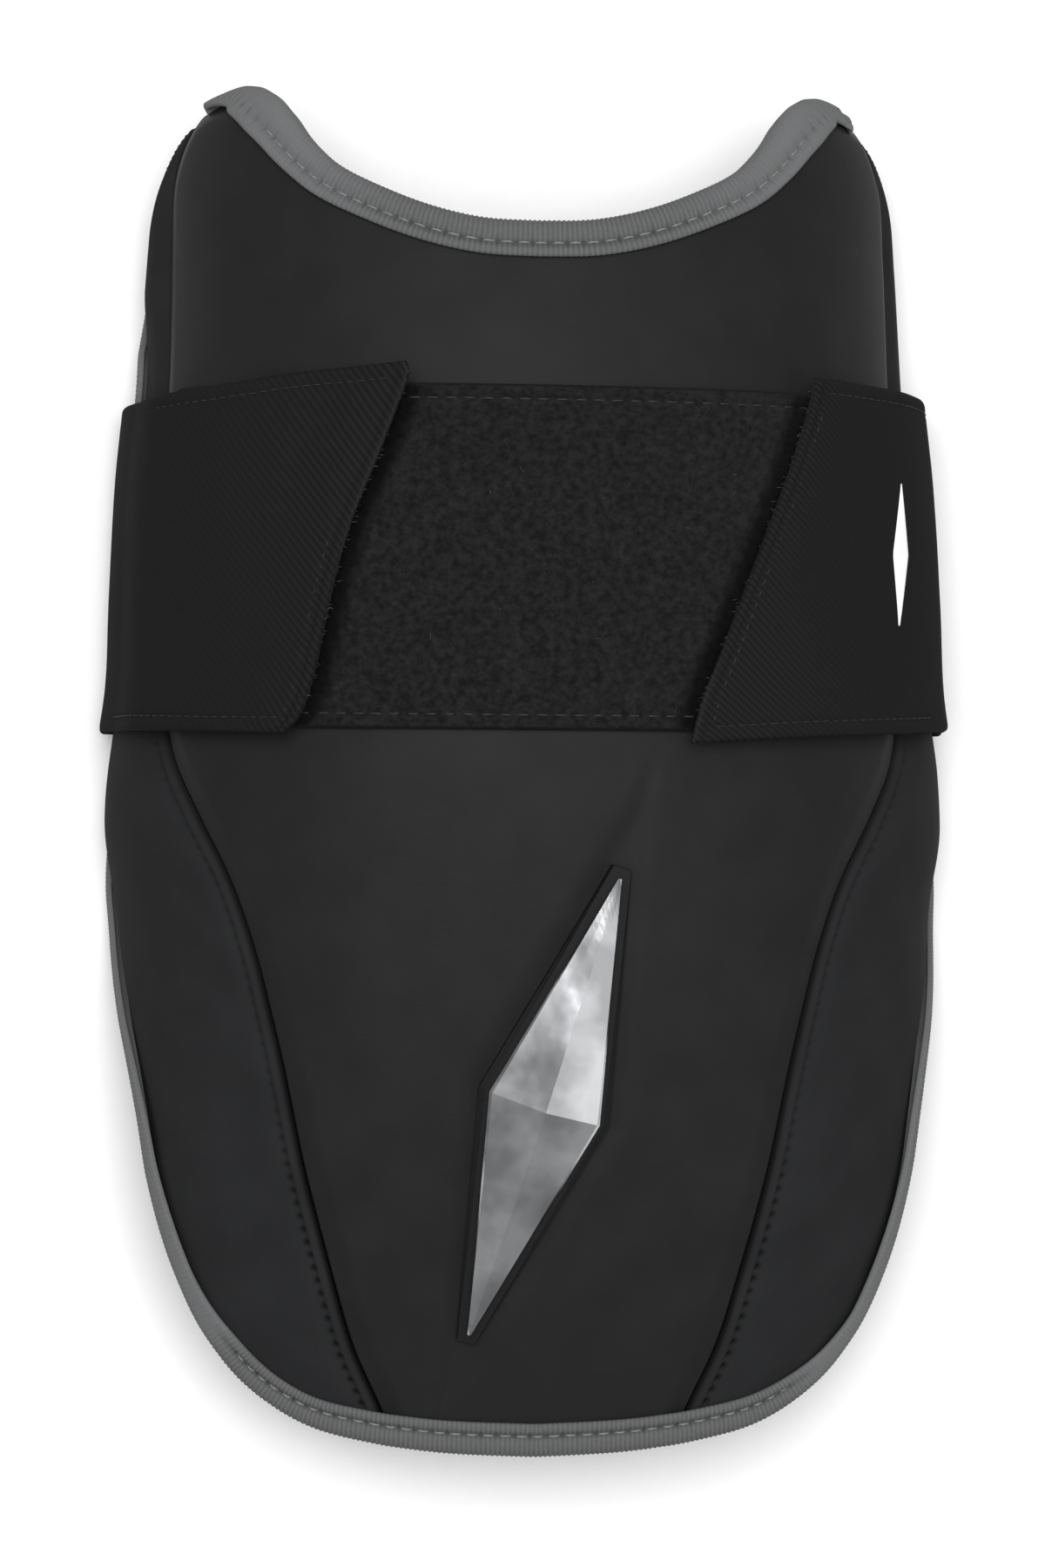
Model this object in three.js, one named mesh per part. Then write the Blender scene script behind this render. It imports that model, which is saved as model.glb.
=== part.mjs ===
// Padded elbow guard for a batter, lying on its back with the hollow for the arm underneath.
// Millimetres, +Z up. +Y runs up the arm to the scooped end, X goes across it.
// Every panel, tape and band lies on one shell surface, which is worked out from the sizes below.

import * as THREE from 'three';
import { mergeVertices } from 'three/addons/utils/BufferGeometryUtils.js';

// The shell: an arch across the arm, bowed along it.
const HALF_LENGTH = 121.5; // middle to the tip of a horn
const HALF_WIDTH = 74.6; // at the widest section
const CREST_HEIGHT = 62.5; // highest line of the shell above the floor
const CREST_AT = 20; // where along the arm the crest is highest
const BEND_RADIUS = 415; // bow of the crest along the arm
const SQUARENESS = 2.4; // 2 is a round arch, more is squarer at the shoulders
const HORN_LEAN = 0.015; // how much further one horn stands than the other, for each mm across

// Padding
const CENTRE_PAD = 9;
const WING_PAD = 6;
const EDGE_PAD = 4.5; // both panels are pressed thin at their seams and under the tape
const SEAM_DIP = 1.0; // how far the outer face sinks at a seam or an edge
const SEAM_DIP_REACH = 5;
const EDGE_FLAT = 11; // the thin margin under the tape
const PAD_RISE = 16; // distance over which the padding comes to its full thickness

// Binding tape
const TAPE_THICKNESS = 0.9;
const TAPE_LAP = 5.6; // how far the tape reaches in from the edge on each face
const TAPE_GAP = 0.36; // between the tape and the panel's faces

// Strap, its hook tapes and the loop patch that they fasten to
const STRAP_WIDTH = 61;
const STRAP_THICKNESS = 2;
const STRAP_AT = 36.9; // middle of the strap along the arm
const STRAP_CORNER = 6; // inner radius where the strap turns under the guard
const PATCH_WIDTH = 59.5;
const PATCH_THICKNESS = 1.5;
const HOOK_WIDTH = 56;
const HOOK_LENGTH = 28;
const HOOK_THICKNESS = 1.2;

// Badge: a lozenge, whose upper point leans across the arm
const BADGE_LENGTH = 86;
const BADGE_WIDTH = 20;
const BADGE_TIP = 0.3; // half width at which both points are blunted
const BADGE_LEAN = 17.5; // degrees
const BADGE_EDGE = 0.8; // height of its upright edge
const BADGE_RIDGE = 3; // rise of the facets from that edge to their peak
const BADGE_ACROSS = 0.7; // middle of the badge
const BADGE_ALONG = -58;
const BACKING_MARGIN = 1.8;
const BACKING_THICKNESS = 0.9;

const GAP = 0.3; // clearance between sewn or stacked pieces

// Sections of the shell. along: share of HALF_LENGTH. width: share of HALF_WIDTH.
// base: height of the widest point, as a share of CREST_HEIGHT.
const SECTIONS = [
  { along: -1.0, width: 0.82, base: 0.128 },
  { along: -0.8, width: 0.926, base: 0.12 },
  { along: -0.6, width: 0.973, base: 0.11 },
  { along: -0.4, width: 0.98, base: 0.075 },
  { along: -0.25, width: 0.989, base: 0.035 },
  { along: -0.12, width: 1.004, base: 0.021 },
  { along: 0.0, width: 0.998, base: 0.021 },
  { along: 0.12, width: 0.972, base: 0.021 },
  { along: 0.25, width: 0.964, base: 0.021 },
  { along: 0.42, width: 0.949, base: 0.025 },
  { along: 0.56, width: 0.926, base: 0.035 },
  { along: 0.76, width: 0.905, base: 0.064 },
  { along: 0.88, width: 0.886, base: 0.096 },
  { along: 0.95, width: 0.845, base: 0.115 },
  { along: 1.0, width: 0.764, base: 0.128 },
];

// Sides of the rim, bottom to top. turn: share of the quarter turn from the crest to the side.
const SIDE_RIM = [
  { along: -0.971, turn: 0.262 },
  { along: -0.954, turn: 0.362 },
  { along: -0.937, turn: 0.42 },
  { along: -0.907, turn: 0.481 },
  { along: -0.875, turn: 0.527 },
  { along: -0.843, turn: 0.558 },
  { along: -0.802, turn: 0.592 },
  { along: -0.761, turn: 0.617 },
  { along: -0.677, turn: 0.662 },
  { along: -0.594, turn: 0.698 },
  { along: -0.51, turn: 0.73 },
  { along: -0.426, turn: 0.785 },
  { along: -0.343, turn: 0.862 },
  { along: -0.262, turn: 0.94 },
  { along: -0.19, turn: 0.987 },
  { along: -0.13, turn: 1.0 },
  { along: 0.55, turn: 1.0 },
  { along: 0.66, turn: 0.93 },
  { along: 0.73, turn: 0.905 },
  { along: 0.8, turn: 0.875 },
  { along: 0.86, turn: 0.84 },
  { along: 0.915, turn: 0.79 },
  { along: 0.955, turn: 0.74 },
];

// Lower end of the rim, from the middle to the seam.
const LOWER_RIM = [
  { turn: 0.0, along: -0.987 },
  { turn: 0.156, along: -0.981 },
  { turn: 0.262, along: -0.971 },
];

// Scoop and horn, from the middle of the scoop to the seam behind the horn.
const SCOOP = [
  { turn: 0.0, along: 0.778 },
  { turn: 0.096, along: 0.782 },
  { turn: 0.192, along: 0.802 },
  { turn: 0.291, along: 0.837 },
  { turn: 0.346, along: 0.862 },
  { turn: 0.383, along: 0.887 },
  { turn: 0.413, along: 0.909 },
  { turn: 0.449, along: 0.937 },
  { turn: 0.496, along: 0.962 },
  { turn: 0.549, along: 0.978 },
  { turn: 0.587, along: 0.984 },
  { turn: 0.617, along: 0.983 },
  { turn: 0.646, along: 0.979 },
  { turn: 0.69, along: 0.97 },
  { turn: 0.74, along: 0.955 },
];

// Seams between the centre panel and the wings, bottom to top.
const SEAM = [
  { along: -0.971, turn: 0.262 },
  { along: -0.927, turn: 0.272 },
  { along: -0.841, turn: 0.302 },
  { along: -0.72, turn: 0.329 },
  { along: -0.585, turn: 0.361 },
  { along: -0.459, turn: 0.39 },
  { along: -0.35, turn: 0.418 },
  { along: -0.251, turn: 0.447 },
  { along: -0.15, turn: 0.488 },
  { along: -0.067, turn: 0.548 },
  { along: 0.017, turn: 0.618 },
  { along: 0.1, turn: 0.668 },
  { along: 0.22, turn: 0.692 },
  { along: 0.553, turn: 0.718 },
  { along: 0.682, turn: 0.733 },
  { along: 0.769, turn: 0.75 },
  { along: 0.857, turn: 0.763 },
  { along: 0.955, turn: 0.74 },
];

// Slanted ends of the strap on the front, at its lower and its upper edge, and of the loop patch.
const LEFT_TAB_END = { lower: -0.345, upper: -0.195 };
const RIGHT_TAB_END = { lower: 0.208, upper: 0.42 };
const PATCH_END = { left: -0.64, right: 0.72 };
const STRAP_EASE = 0.15; // turn over which the strap comes down from the patch to the wing
const STRAP_LEAVES = 0.92; // turn at which the strap leaves the shell to go under it

// Mesh steps
const PANEL_ACROSS = 24;
const PANEL_ALONG = 42;
const WING_ACROSS = 7;
const LOWER_STEPS = 10;
const LEAST_STEP = 1.2;
const ROW_CROWDING = 0.8; // 0 spaces the rows evenly, 1 crowds them most towards the ends
const COLUMN_CROWDING = 0.5;
const STRAP_ACROSS = 6;
const STRAP_SIDE_STEPS = 14;
const STRAP_CORNER_STEPS = 5;
const PATCH_STEPS = { around: 24, across: 6 };
const HOOK_STEPS = { around: 6, across: 4 };
const BADGE_STEPS = 10;

// Cubic through the rows of a table: value of one column where another has a given value.
function lookUp(table, keyColumn, valueColumn, key) {
  let i = 0;
  while (i < table.length - 2 && table[i + 1][keyColumn] <= key) {
    i += 1;
  }
  const slope = (a, b) =>
    (table[b][valueColumn] - table[a][valueColumn]) / (table[b][keyColumn] - table[a][keyColumn]);
  const start = table[i];
  const end = table[i + 1];
  const span = end[keyColumn] - start[keyColumn];
  const t = Math.min(Math.max((key - start[keyColumn]) / span, 0), 1);
  const slopeIn = slope(Math.max(i - 1, 0), i + 1);
  const slopeOut = slope(i, Math.min(i + 2, table.length - 1));
  const t2 = t * t;
  const t3 = t2 * t;
  return (
    (2 * t3 - 3 * t2 + 1) * start[valueColumn] +
    (t3 - 2 * t2 + t) * span * slopeIn +
    (3 * t2 - 2 * t3) * end[valueColumn] +
    (t3 - t2) * span * slopeOut
  );
}

function smooth(value) {
  const t = Math.min(Math.max(value, 0), 1);
  return t * t * (3 - 2 * t);
}

function mix(a, b, t) {
  return a + (b - a) * t;
}

function halfWidth(y) {
  return HALF_WIDTH * lookUp(SECTIONS, 'along', 'width', y / HALF_LENGTH);
}

function baseHeight(y) {
  return CREST_HEIGHT * lookUp(SECTIONS, 'along', 'base', y / HALF_LENGTH);
}

function crestHeight(y) {
  return CREST_HEIGHT - (y - CREST_AT) ** 2 / (2 * BEND_RADIUS);
}

// One horn stands a little further than the other: a place further across lies lower.
function leanBack(x, y) {
  return y - HORN_LEAN * x * smooth(y / HALF_LENGTH + 0.5);
}

// Bare shell surface. turn: -1 at one side, 0 on the crest, 1 at the other side.
function shellPoint(turn, y) {
  const angle = (turn * Math.PI) / 2;
  const s = Math.sin(angle);
  const c = Math.cos(angle);
  const k = (Math.abs(s) ** SQUARENESS + Math.abs(c) ** SQUARENESS) ** (-1 / SQUARENESS);
  const x = halfWidth(y) * k * s;
  const base = baseHeight(y);
  return new THREE.Vector3(x, leanBack(x, y), base + (crestHeight(y) - base) * k * c);
}

// Steps of the surface for a unit of turn and a mm along, and its outward normal.
function shellFrame(turn, y) {
  const small = 0.002;
  const byTurn = shellPoint(turn + small, y).sub(shellPoint(turn - small, y));
  const byY = shellPoint(turn, y + small).sub(shellPoint(turn, y - small));
  byTurn.divideScalar(2 * small);
  byY.divideScalar(2 * small);
  return { byTurn, byY, normal: byTurn.clone().cross(byY).normalize() };
}

function offShell(turn, y, height) {
  return shellPoint(turn, y).addScaledVector(shellFrame(turn, y).normal, height);
}

// Turn at which the shell stands at a given height.
function turnAtHeight(y, z) {
  const base = baseHeight(y);
  const share = Math.max((z - base) / (crestHeight(y) - base), 0);
  const across = (1 - share ** SQUARENESS) ** (1 / SQUARENESS);
  return (Math.atan2(across, share) * 2) / Math.PI;
}

// Turn of a point that lies x across from the crest.
function turnAcross(x, y) {
  const share = Math.abs(x) / halfWidth(y);
  const up = (1 - share ** SQUARENESS) ** (1 / SQUARENESS);
  return (Math.sign(x) * Math.atan2(share, up) * 2) / Math.PI;
}

// The rim is cut away between the strap's edges, so that the strap can turn under it.
function sideRimTurn(y) {
  const clearEdge = 2;
  const fade = 16;
  const beyondStrap = Math.abs(y - STRAP_AT) - STRAP_WIDTH / 2 - clearEdge;
  const raised = STRAP_THICKNESS + STRAP_CORNER + TAPE_THICKNESS + TAPE_GAP;
  const height = raised * (1 - smooth(beyondStrap / fade));
  const bare = lookUp(SIDE_RIM, 'along', 'turn', y / HALF_LENGTH);
  return Math.min(bare, turnAtHeight(y, height));
}

function seamTurn(y) {
  return lookUp(SEAM, 'along', 'turn', y / HALF_LENGTH);
}

const SEAM_FROM = SEAM[0].along * HALF_LENGTH;
const SEAM_TO = SEAM[SEAM.length - 1].along * HALF_LENGTH;
const SEAM_TURN_FROM = SEAM[0].turn;
const SEAM_TURN_TO = SEAM[SEAM.length - 1].turn;

// Rows lie closer towards both ends of a seam, where the rim curves most.
function seamRow(v) {
  return mix(SEAM_FROM, SEAM_TO, mix(v, (1 - Math.cos(Math.PI * v)) / 2, ROW_CROWDING));
}

// Columns lie closer towards both sides, where the horns are: -1 at one seam, 1 at the other.
function columnAcross(u) {
  return mix(2 * u - 1, -Math.cos(Math.PI * u), COLUMN_CROWDING);
}

function scoopEdge(turn) {
  return lookUp(SCOOP, 'turn', 'along', Math.abs(turn)) * HALF_LENGTH;
}

function lowerEdge(turn) {
  return lookUp(LOWER_RIM, 'turn', 'along', Math.abs(turn)) * HALF_LENGTH;
}

// Edges of the panels, as lists of places on the shell.
function placesFrom(steps, place) {
  return Array.from({ length: steps + 1 }, (_, i) => place(i / steps));
}

function scoopPlaces() {
  return placesFrom(PANEL_ACROSS, (u) => {
    const turn = columnAcross(u) * SEAM_TURN_TO;
    return { turn, y: scoopEdge(turn) };
  });
}

function sideRimPlaces(side) {
  return placesFrom(PANEL_ALONG, (v) => ({ turn: side * sideRimTurn(seamRow(v)), y: seamRow(v) }));
}

function lowerRimPlaces() {
  const places = placesFrom(LOWER_STEPS, (u) => {
    const turn = mix(SEAM_TURN_FROM, -SEAM_TURN_FROM, u);
    return { turn, y: lowerEdge(turn) };
  });
  return places.slice(1, LOWER_STEPS);
}

function seamPlaces(side) {
  return placesFrom(PANEL_ALONG, (v) => ({ turn: side * seamTurn(seamRow(v)), y: seamRow(v) }));
}

const onShell = (place) => shellPoint(place.turn, place.y);
const stepTo = (place, other) => onShell(place).distanceTo(onShell(other));

// The whole edge once round: over the scoop, down one side, across the lower end and up again.
const EDGE = [
  ...scoopPlaces(),
  ...sideRimPlaces(1).reverse().slice(1),
  ...lowerRimPlaces(),
  ...sideRimPlaces(-1).slice(0, PANEL_ALONG),
].filter((place, i, all) => i === 0 || stepTo(place, all[i - 1]) > LEAST_STEP);
const EDGE_POINTS = EDGE.map(onShell);
const SEAM_POINTS = [...seamPlaces(-1), ...seamPlaces(1)].map(onShell);

function nearest(point, points) {
  let best = Infinity;
  for (const other of points) {
    best = Math.min(best, point.distanceToSquared(other));
  }
  return Math.sqrt(best);
}

// Faces of a panel at one place: how far its outer face sinks, and how thick it is.
function padding(turn, y, fullPad) {
  const point = shellPoint(turn, y);
  const toEdge = nearest(point, EDGE_POINTS);
  const toSeam = nearest(point, SEAM_POINTS);
  const dip = SEAM_DIP * (1 - smooth(Math.min(toEdge, toSeam) / SEAM_DIP_REACH));
  const rise = smooth((toEdge - EDGE_FLAT) / PAD_RISE) * smooth(toSeam / PAD_RISE);
  return { dip, thickness: mix(EDGE_PAD, fullPad, rise) };
}

// Joins coincident vertices, drops triangles that collapsed, and turns the faces outwards.
function closedGeometry(points, triangles) {
  const raw = new THREE.BufferGeometry();
  raw.setAttribute('position', new THREE.Float32BufferAttribute(points.flatMap((p) => p.toArray()), 3));
  raw.setIndex(triangles.flat());
  const merged = mergeVertices(raw, 1e-3);
  const position = merged.getAttribute('position');
  const corner = (i) => new THREE.Vector3().fromBufferAttribute(position, i);
  const index = merged.getIndex().array;
  const kept = [];
  let volume = 0;
  for (let i = 0; i < index.length; i += 3) {
    const [a, b, c] = [index[i], index[i + 1], index[i + 2]];
    if (a === b || b === c || c === a) {
      continue;
    }
    kept.push([a, b, c]);
    volume += corner(a).dot(corner(b).cross(corner(c)));
  }
  merged.setIndex((volume > 0 ? kept : kept.map(([a, b, c]) => [a, c, b])).flat());
  merged.computeVertexNormals();
  return merged;
}

// A body between two grids of points of the same size, with walls round their four edges.
function bodyBetween(outer, inner) {
  const rows = outer.length;
  const columns = outer[0].length;
  const size = rows * columns;
  const points = [...outer.flat(), ...inner.flat()];
  const at = (r, c) => r * columns + c;
  const triangles = [];
  const quad = (a, b, c, d) => triangles.push([a, b, c], [a, c, d]);
  for (let r = 0; r < rows - 1; r += 1) {
    for (let c = 0; c < columns - 1; c += 1) {
      const corners = [at(r, c), at(r, c + 1), at(r + 1, c + 1), at(r + 1, c)];
      quad(...corners);
      quad(corners[0] + size, corners[3] + size, corners[2] + size, corners[1] + size);
    }
  }
  const wall = (a, b) => quad(a, a + size, b + size, b);
  for (let c = 0; c < columns - 1; c += 1) {
    wall(at(0, c), at(0, c + 1));
    wall(at(rows - 1, c + 1), at(rows - 1, c));
  }
  for (let r = 0; r < rows - 1; r += 1) {
    wall(at(r + 1, 0), at(r, 0));
    wall(at(r, columns - 1), at(r + 1, columns - 1));
  }
  return closedGeometry(points, triangles);
}

// A body through rings of points that all follow the same flat outline, capped at both ends.
function bodyThrough(rings, outline) {
  const count = outline.length;
  const points = rings.flat();
  const triangles = [];
  for (let r = 0; r < rings.length - 1; r += 1) {
    for (let i = 0; i < count; i += 1) {
      const next = (i + 1) % count;
      const a = r * count + i;
      const b = r * count + next;
      triangles.push([a, b, b + count], [a, b + count, a + count]);
    }
  }
  const last = (rings.length - 1) * count;
  for (const [a, b, c] of THREE.ShapeUtils.triangulateShape(outline, [])) {
    triangles.push([a, c, b], [a + last, b + last, c + last]);
  }
  return closedGeometry(points, triangles);
}

function grid(rows, columns, place) {
  return Array.from({ length: rows + 1 }, (_, r) =>
    Array.from({ length: columns + 1 }, (_, c) => place(r / rows, c / columns)),
  );
}

// A panel's two faces, pulled back from its seams by half the gap.
function panelBody(places) {
  const outer = places.map((row) => row.map((p) => offShell(p.turn, p.y, -p.dip)));
  const inner = places.map((row) => row.map((p) => offShell(p.turn, p.y, p.dip - p.thickness)));
  return bodyBetween(outer, inner);
}

function seamShift(turn, y) {
  return GAP / 2 / shellFrame(turn, y).byTurn.length();
}

// Centre panel: from the lower rim to the scoop, between the two seams.
function centrePanel() {
  const places = grid(PANEL_ALONG, PANEL_ACROSS, (v, u) => {
    const across = columnAcross(u);
    const rowY = seamRow(v);
    const share = (rowY - SEAM_FROM) / (SEAM_TO - SEAM_FROM);
    const edge = seamTurn(rowY) - seamShift(seamTurn(rowY), rowY);
    const turn = across * edge;
    const y = mix(lowerEdge(across * SEAM_TURN_FROM), scoopEdge(across * SEAM_TURN_TO), share);
    return { turn, y, ...padding(turn, y, CENTRE_PAD) };
  });
  return panelBody(places);
}

// Wing: from the seam round to the rim at the side.
function wing(side) {
  const places = grid(PANEL_ALONG, WING_ACROSS, (v, u) => {
    const y = seamRow(v);
    const from = seamTurn(y);
    const to = Math.max(sideRimTurn(y), from);
    const shift = Math.min(seamShift(from, y), (to - from) / 2);
    const turn = side * mix(from + shift, to, u);
    return { turn, y, ...padding(turn, y, WING_PAD) };
  });
  return panelBody(places);
}

// Binding tape: a channel that is folded over the panel's edge.
// inset is measured in from the edge along the shell, height outwards from the shell.
function channelOutline() {
  const reach = TAPE_GAP + TAPE_THICKNESS;
  const corner = 0.2;
  return [
    [TAPE_LAP, reach],
    [-corner, reach],
    [-reach, 0],
    [-reach, -EDGE_PAD],
    [-corner, -EDGE_PAD - reach],
    [TAPE_LAP, -EDGE_PAD - reach],
    [TAPE_LAP, -EDGE_PAD - TAPE_GAP],
    [-TAPE_GAP, -EDGE_PAD - TAPE_GAP],
    [-TAPE_GAP, TAPE_GAP],
    [TAPE_LAP, TAPE_GAP],
  ].map(([inset, height]) => new THREE.Vector2(inset, height));
}

// The channel's outline at one place of the edge, slid along the edge by some mm.
function channelRing(outline, step, slide) {
  const place = EDGE[step % EDGE.length];
  const before = EDGE_POINTS[(step + EDGE.length - 1) % EDGE.length];
  const after = EDGE_POINTS[(step + 1) % EDGE.length];
  const { byTurn, byY, normal } = shellFrame(place.turn, place.y);
  const onward = after.clone().sub(before).normalize();
  const inward = onward.clone().cross(normal).normalize();
  const turnRate = inward.dot(byTurn) / byTurn.lengthSq();
  const yRate = inward.dot(byY) / byY.lengthSq();
  return outline.map(({ x: inset, y: height }) => {
    const point = offShell(place.turn + turnRate * inset, place.y + yRate * inset, height);
    return point.addScaledVector(onward, slide);
  });
}

// Tape along the edge between two of its places, shortened by a gap at both ends.
function binding(first, last) {
  const outline = channelOutline();
  const rings = [];
  for (let step = first; step <= last; step += 1) {
    const slide = GAP * ((step === first) - (step === last));
    rings.push(channelRing(outline, step, slide));
  }
  return bodyThrough(rings, outline);
}

// A band on the shell between two turns, for a width centred on the strap's line.
function bandOnShell(steps, width, from, to, low, high) {
  const place = (height) => (u, v) => {
    const y = STRAP_AT + width * (v - 0.5);
    const share = (y - STRAP_AT) / STRAP_WIDTH + 0.5;
    return offShell(mix(from(share), to(share), u), y, height);
  };
  return bodyBetween(
    grid(steps.around, steps.across, place(high)),
    grid(steps.around, steps.across, place(low)),
  );
}

function loopPatch() {
  const left = () => PATCH_END.left;
  const right = () => PATCH_END.right;
  return bandOnShell(PATCH_STEPS, PATCH_WIDTH, left, right, GAP, GAP + PATCH_THICKNESS);
}

const HOOK_HEIGHT = GAP + PATCH_THICKNESS + GAP;
const STRAP_ON_PATCH = HOOK_HEIGHT + HOOK_THICKNESS + GAP;
const STRAP_ON_WING = TAPE_GAP + TAPE_THICKNESS + GAP;

function tabEnd(end) {
  return (share) => mix(end.lower, end.upper, share);
}

function hookTape(end, side) {
  const inset = 0.012;
  const reach = HOOK_LENGTH / shellFrame(side * 0.5, STRAP_AT).byTurn.length();
  const from = (share) => tabEnd(end)(share) + side * inset;
  const to = (share) => tabEnd(end)(share) + side * (inset + reach);
  return bandOnShell(HOOK_STEPS, HOOK_WIDTH, from, to, HOOK_HEIGHT, HOOK_HEIGHT + HOOK_THICKNESS);
}

// Strap height above the shell: over the patch it lies on the hook tape, beyond it on the wing.
function strapHeight(turn) {
  const patchEnd = turn < 0 ? -PATCH_END.left : PATCH_END.right;
  const beyond = smooth((Math.abs(turn) - patchEnd) / STRAP_EASE);
  return mix(STRAP_ON_PATCH, STRAP_ON_WING, beyond);
}

// One side of the strap from its end on the front to where it lies flat on the floor.
function strapSide(end, side, share, thickness) {
  const y = STRAP_AT + STRAP_WIDTH * (share - 0.5);
  const points = [];
  for (let i = 0; i <= STRAP_SIDE_STEPS; i += 1) {
    const turn = mix(tabEnd(end)(share), side * STRAP_LEAVES, i / STRAP_SIDE_STEPS);
    points.push(offShell(turn, y, strapHeight(turn) + thickness));
  }
  const inner = offShell(side * STRAP_LEAVES, y, STRAP_ON_WING);
  const centre = new THREE.Vector2(side * inner.x - STRAP_CORNER, STRAP_THICKNESS + STRAP_CORNER);
  for (let i = 0; i <= STRAP_CORNER_STEPS; i += 1) {
    const angle = (Math.PI / 2) * (i / STRAP_CORNER_STEPS);
    const radius = STRAP_CORNER + thickness;
    const x = side * (centre.x + radius * Math.cos(angle));
    points.push(new THREE.Vector3(x, leanBack(x, y), centre.y - radius * Math.sin(angle)));
  }
  return points;
}

function strapRow(share, thickness) {
  const y = STRAP_AT + STRAP_WIDTH * (share - 0.5);
  const height = STRAP_THICKNESS - thickness;
  return [
    ...strapSide(LEFT_TAB_END, -1, share, thickness),
    new THREE.Vector3(0, leanBack(0, y), height),
    ...strapSide(RIGHT_TAB_END, 1, share, thickness).reverse(),
  ];
}

function strap() {
  const rows = (thickness) =>
    Array.from({ length: STRAP_ACROSS + 1 }, (_, r) => strapRow(r / STRAP_ACROSS, thickness));
  return bodyBetween(rows(STRAP_THICKNESS), rows(0));
}

// Half width of the badge so far from its middle: a lozenge, widened all round by a margin.
function badgeHalfWidth(from, margin) {
  const slant = Math.hypot(BADGE_LENGTH, BADGE_WIDTH) / BADGE_LENGTH;
  return BADGE_WIDTH * (0.5 - Math.abs(from) / BADGE_LENGTH) + margin * slant;
}

function plateOnShell(margin, outlineAt) {
  const reach = BADGE_LENGTH * (0.5 - BADGE_TIP / BADGE_WIDTH) + margin;
  const lean = (BADGE_LEAN * Math.PI) / 180;
  const rings = [];
  for (let i = 0; i <= BADGE_STEPS; i += 1) {
    const along = (2 * i) / BADGE_STEPS - 1;
    const from = along * reach;
    const half = badgeHalfWidth(from, margin);
    const ring = outlineAt(along).map(([across, height]) => {
      const x = BADGE_ACROSS + across * half * Math.cos(lean) + from * Math.sin(lean);
      const y = BADGE_ALONG + from * Math.cos(lean) - across * half * Math.sin(lean);
      return offShell(turnAcross(x, y), y, height);
    });
    rings.push(ring);
  }
  const outline = outlineAt(0).map(([across, height]) => new THREE.Vector2(across * BADGE_WIDTH, height));
  return bodyThrough(rings, outline);
}

function badgeBacking() {
  const low = GAP;
  const high = GAP + BACKING_THICKNESS;
  return plateOnShell(BACKING_MARGIN, () => [
    [-1, low],
    [0, low],
    [1, low],
    [1, high],
    [0, high],
    [-1, high],
  ]);
}

// Four facets that fall from a peak in the middle to the upright edge.
function badge() {
  const low = GAP + BACKING_THICKNESS + GAP;
  const edge = low + BADGE_EDGE;
  return plateOnShell(0, (along) => [
    [-1, low],
    [0, low],
    [1, low],
    [1, edge],
    [0, edge + BADGE_RIDGE * (1 - 0.9 * Math.abs(along))],
    [-1, edge],
  ]);
}

const FABRIC = new THREE.MeshStandardMaterial({ color: 0x2b2c2f, roughness: 0.85, metalness: 0 });
const TAPE = new THREE.MeshStandardMaterial({ color: 0x66686c, roughness: 0.8, metalness: 0 });
const LOOP = new THREE.MeshStandardMaterial({ color: 0x1d1e20, roughness: 1, metalness: 0 });
const WEBBING = new THREE.MeshStandardMaterial({ color: 0x191a1c, roughness: 0.8, metalness: 0 });
const HOOK = new THREE.MeshStandardMaterial({ color: 0x303134, roughness: 0.7, metalness: 0 });
const RUBBER = new THREE.MeshStandardMaterial({ color: 0x101113, roughness: 0.6, metalness: 0 });
const CHROME = new THREE.MeshStandardMaterial({ color: 0xc4c6ca, roughness: 0.15, metalness: 1 });

const guard = new THREE.Group();

function addPiece(name, geometry, material) {
  const mesh = new THREE.Mesh(geometry, material);
  mesh.name = name;
  guard.add(mesh);
}

addPiece('centre_panel', centrePanel(), FABRIC);
addPiece('left_wing', wing(-1), FABRIC);
addPiece('right_wing', wing(1), FABRIC);
addPiece('scoop_binding', binding(0, PANEL_ACROSS), TAPE);
addPiece('rim_binding', binding(PANEL_ACROSS, EDGE.length), TAPE);
addPiece('loop_patch', loopPatch(), LOOP);
addPiece('left_hook_tape', hookTape(LEFT_TAB_END, -1), HOOK);
addPiece('right_hook_tape', hookTape(RIGHT_TAB_END, 1), HOOK);
addPiece('strap', strap(), WEBBING);
addPiece('badge_backing', badgeBacking(), RUBBER);
addPiece('badge', badge(), CHROME);

// The origin is on the floor under the middle of the guard.
const box = new THREE.Box3().setFromObject(guard);
const middle = box.getCenter(new THREE.Vector3());
guard.position.set(-middle.x, -middle.y, -box.min.z);

export default guard;
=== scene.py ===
"""Padded elbow guard for a batter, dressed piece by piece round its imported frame.

Sizes are in millimetres and become metres where a mesh is made. +Y runs up the arm, +Z is up.
"""
import math

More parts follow.
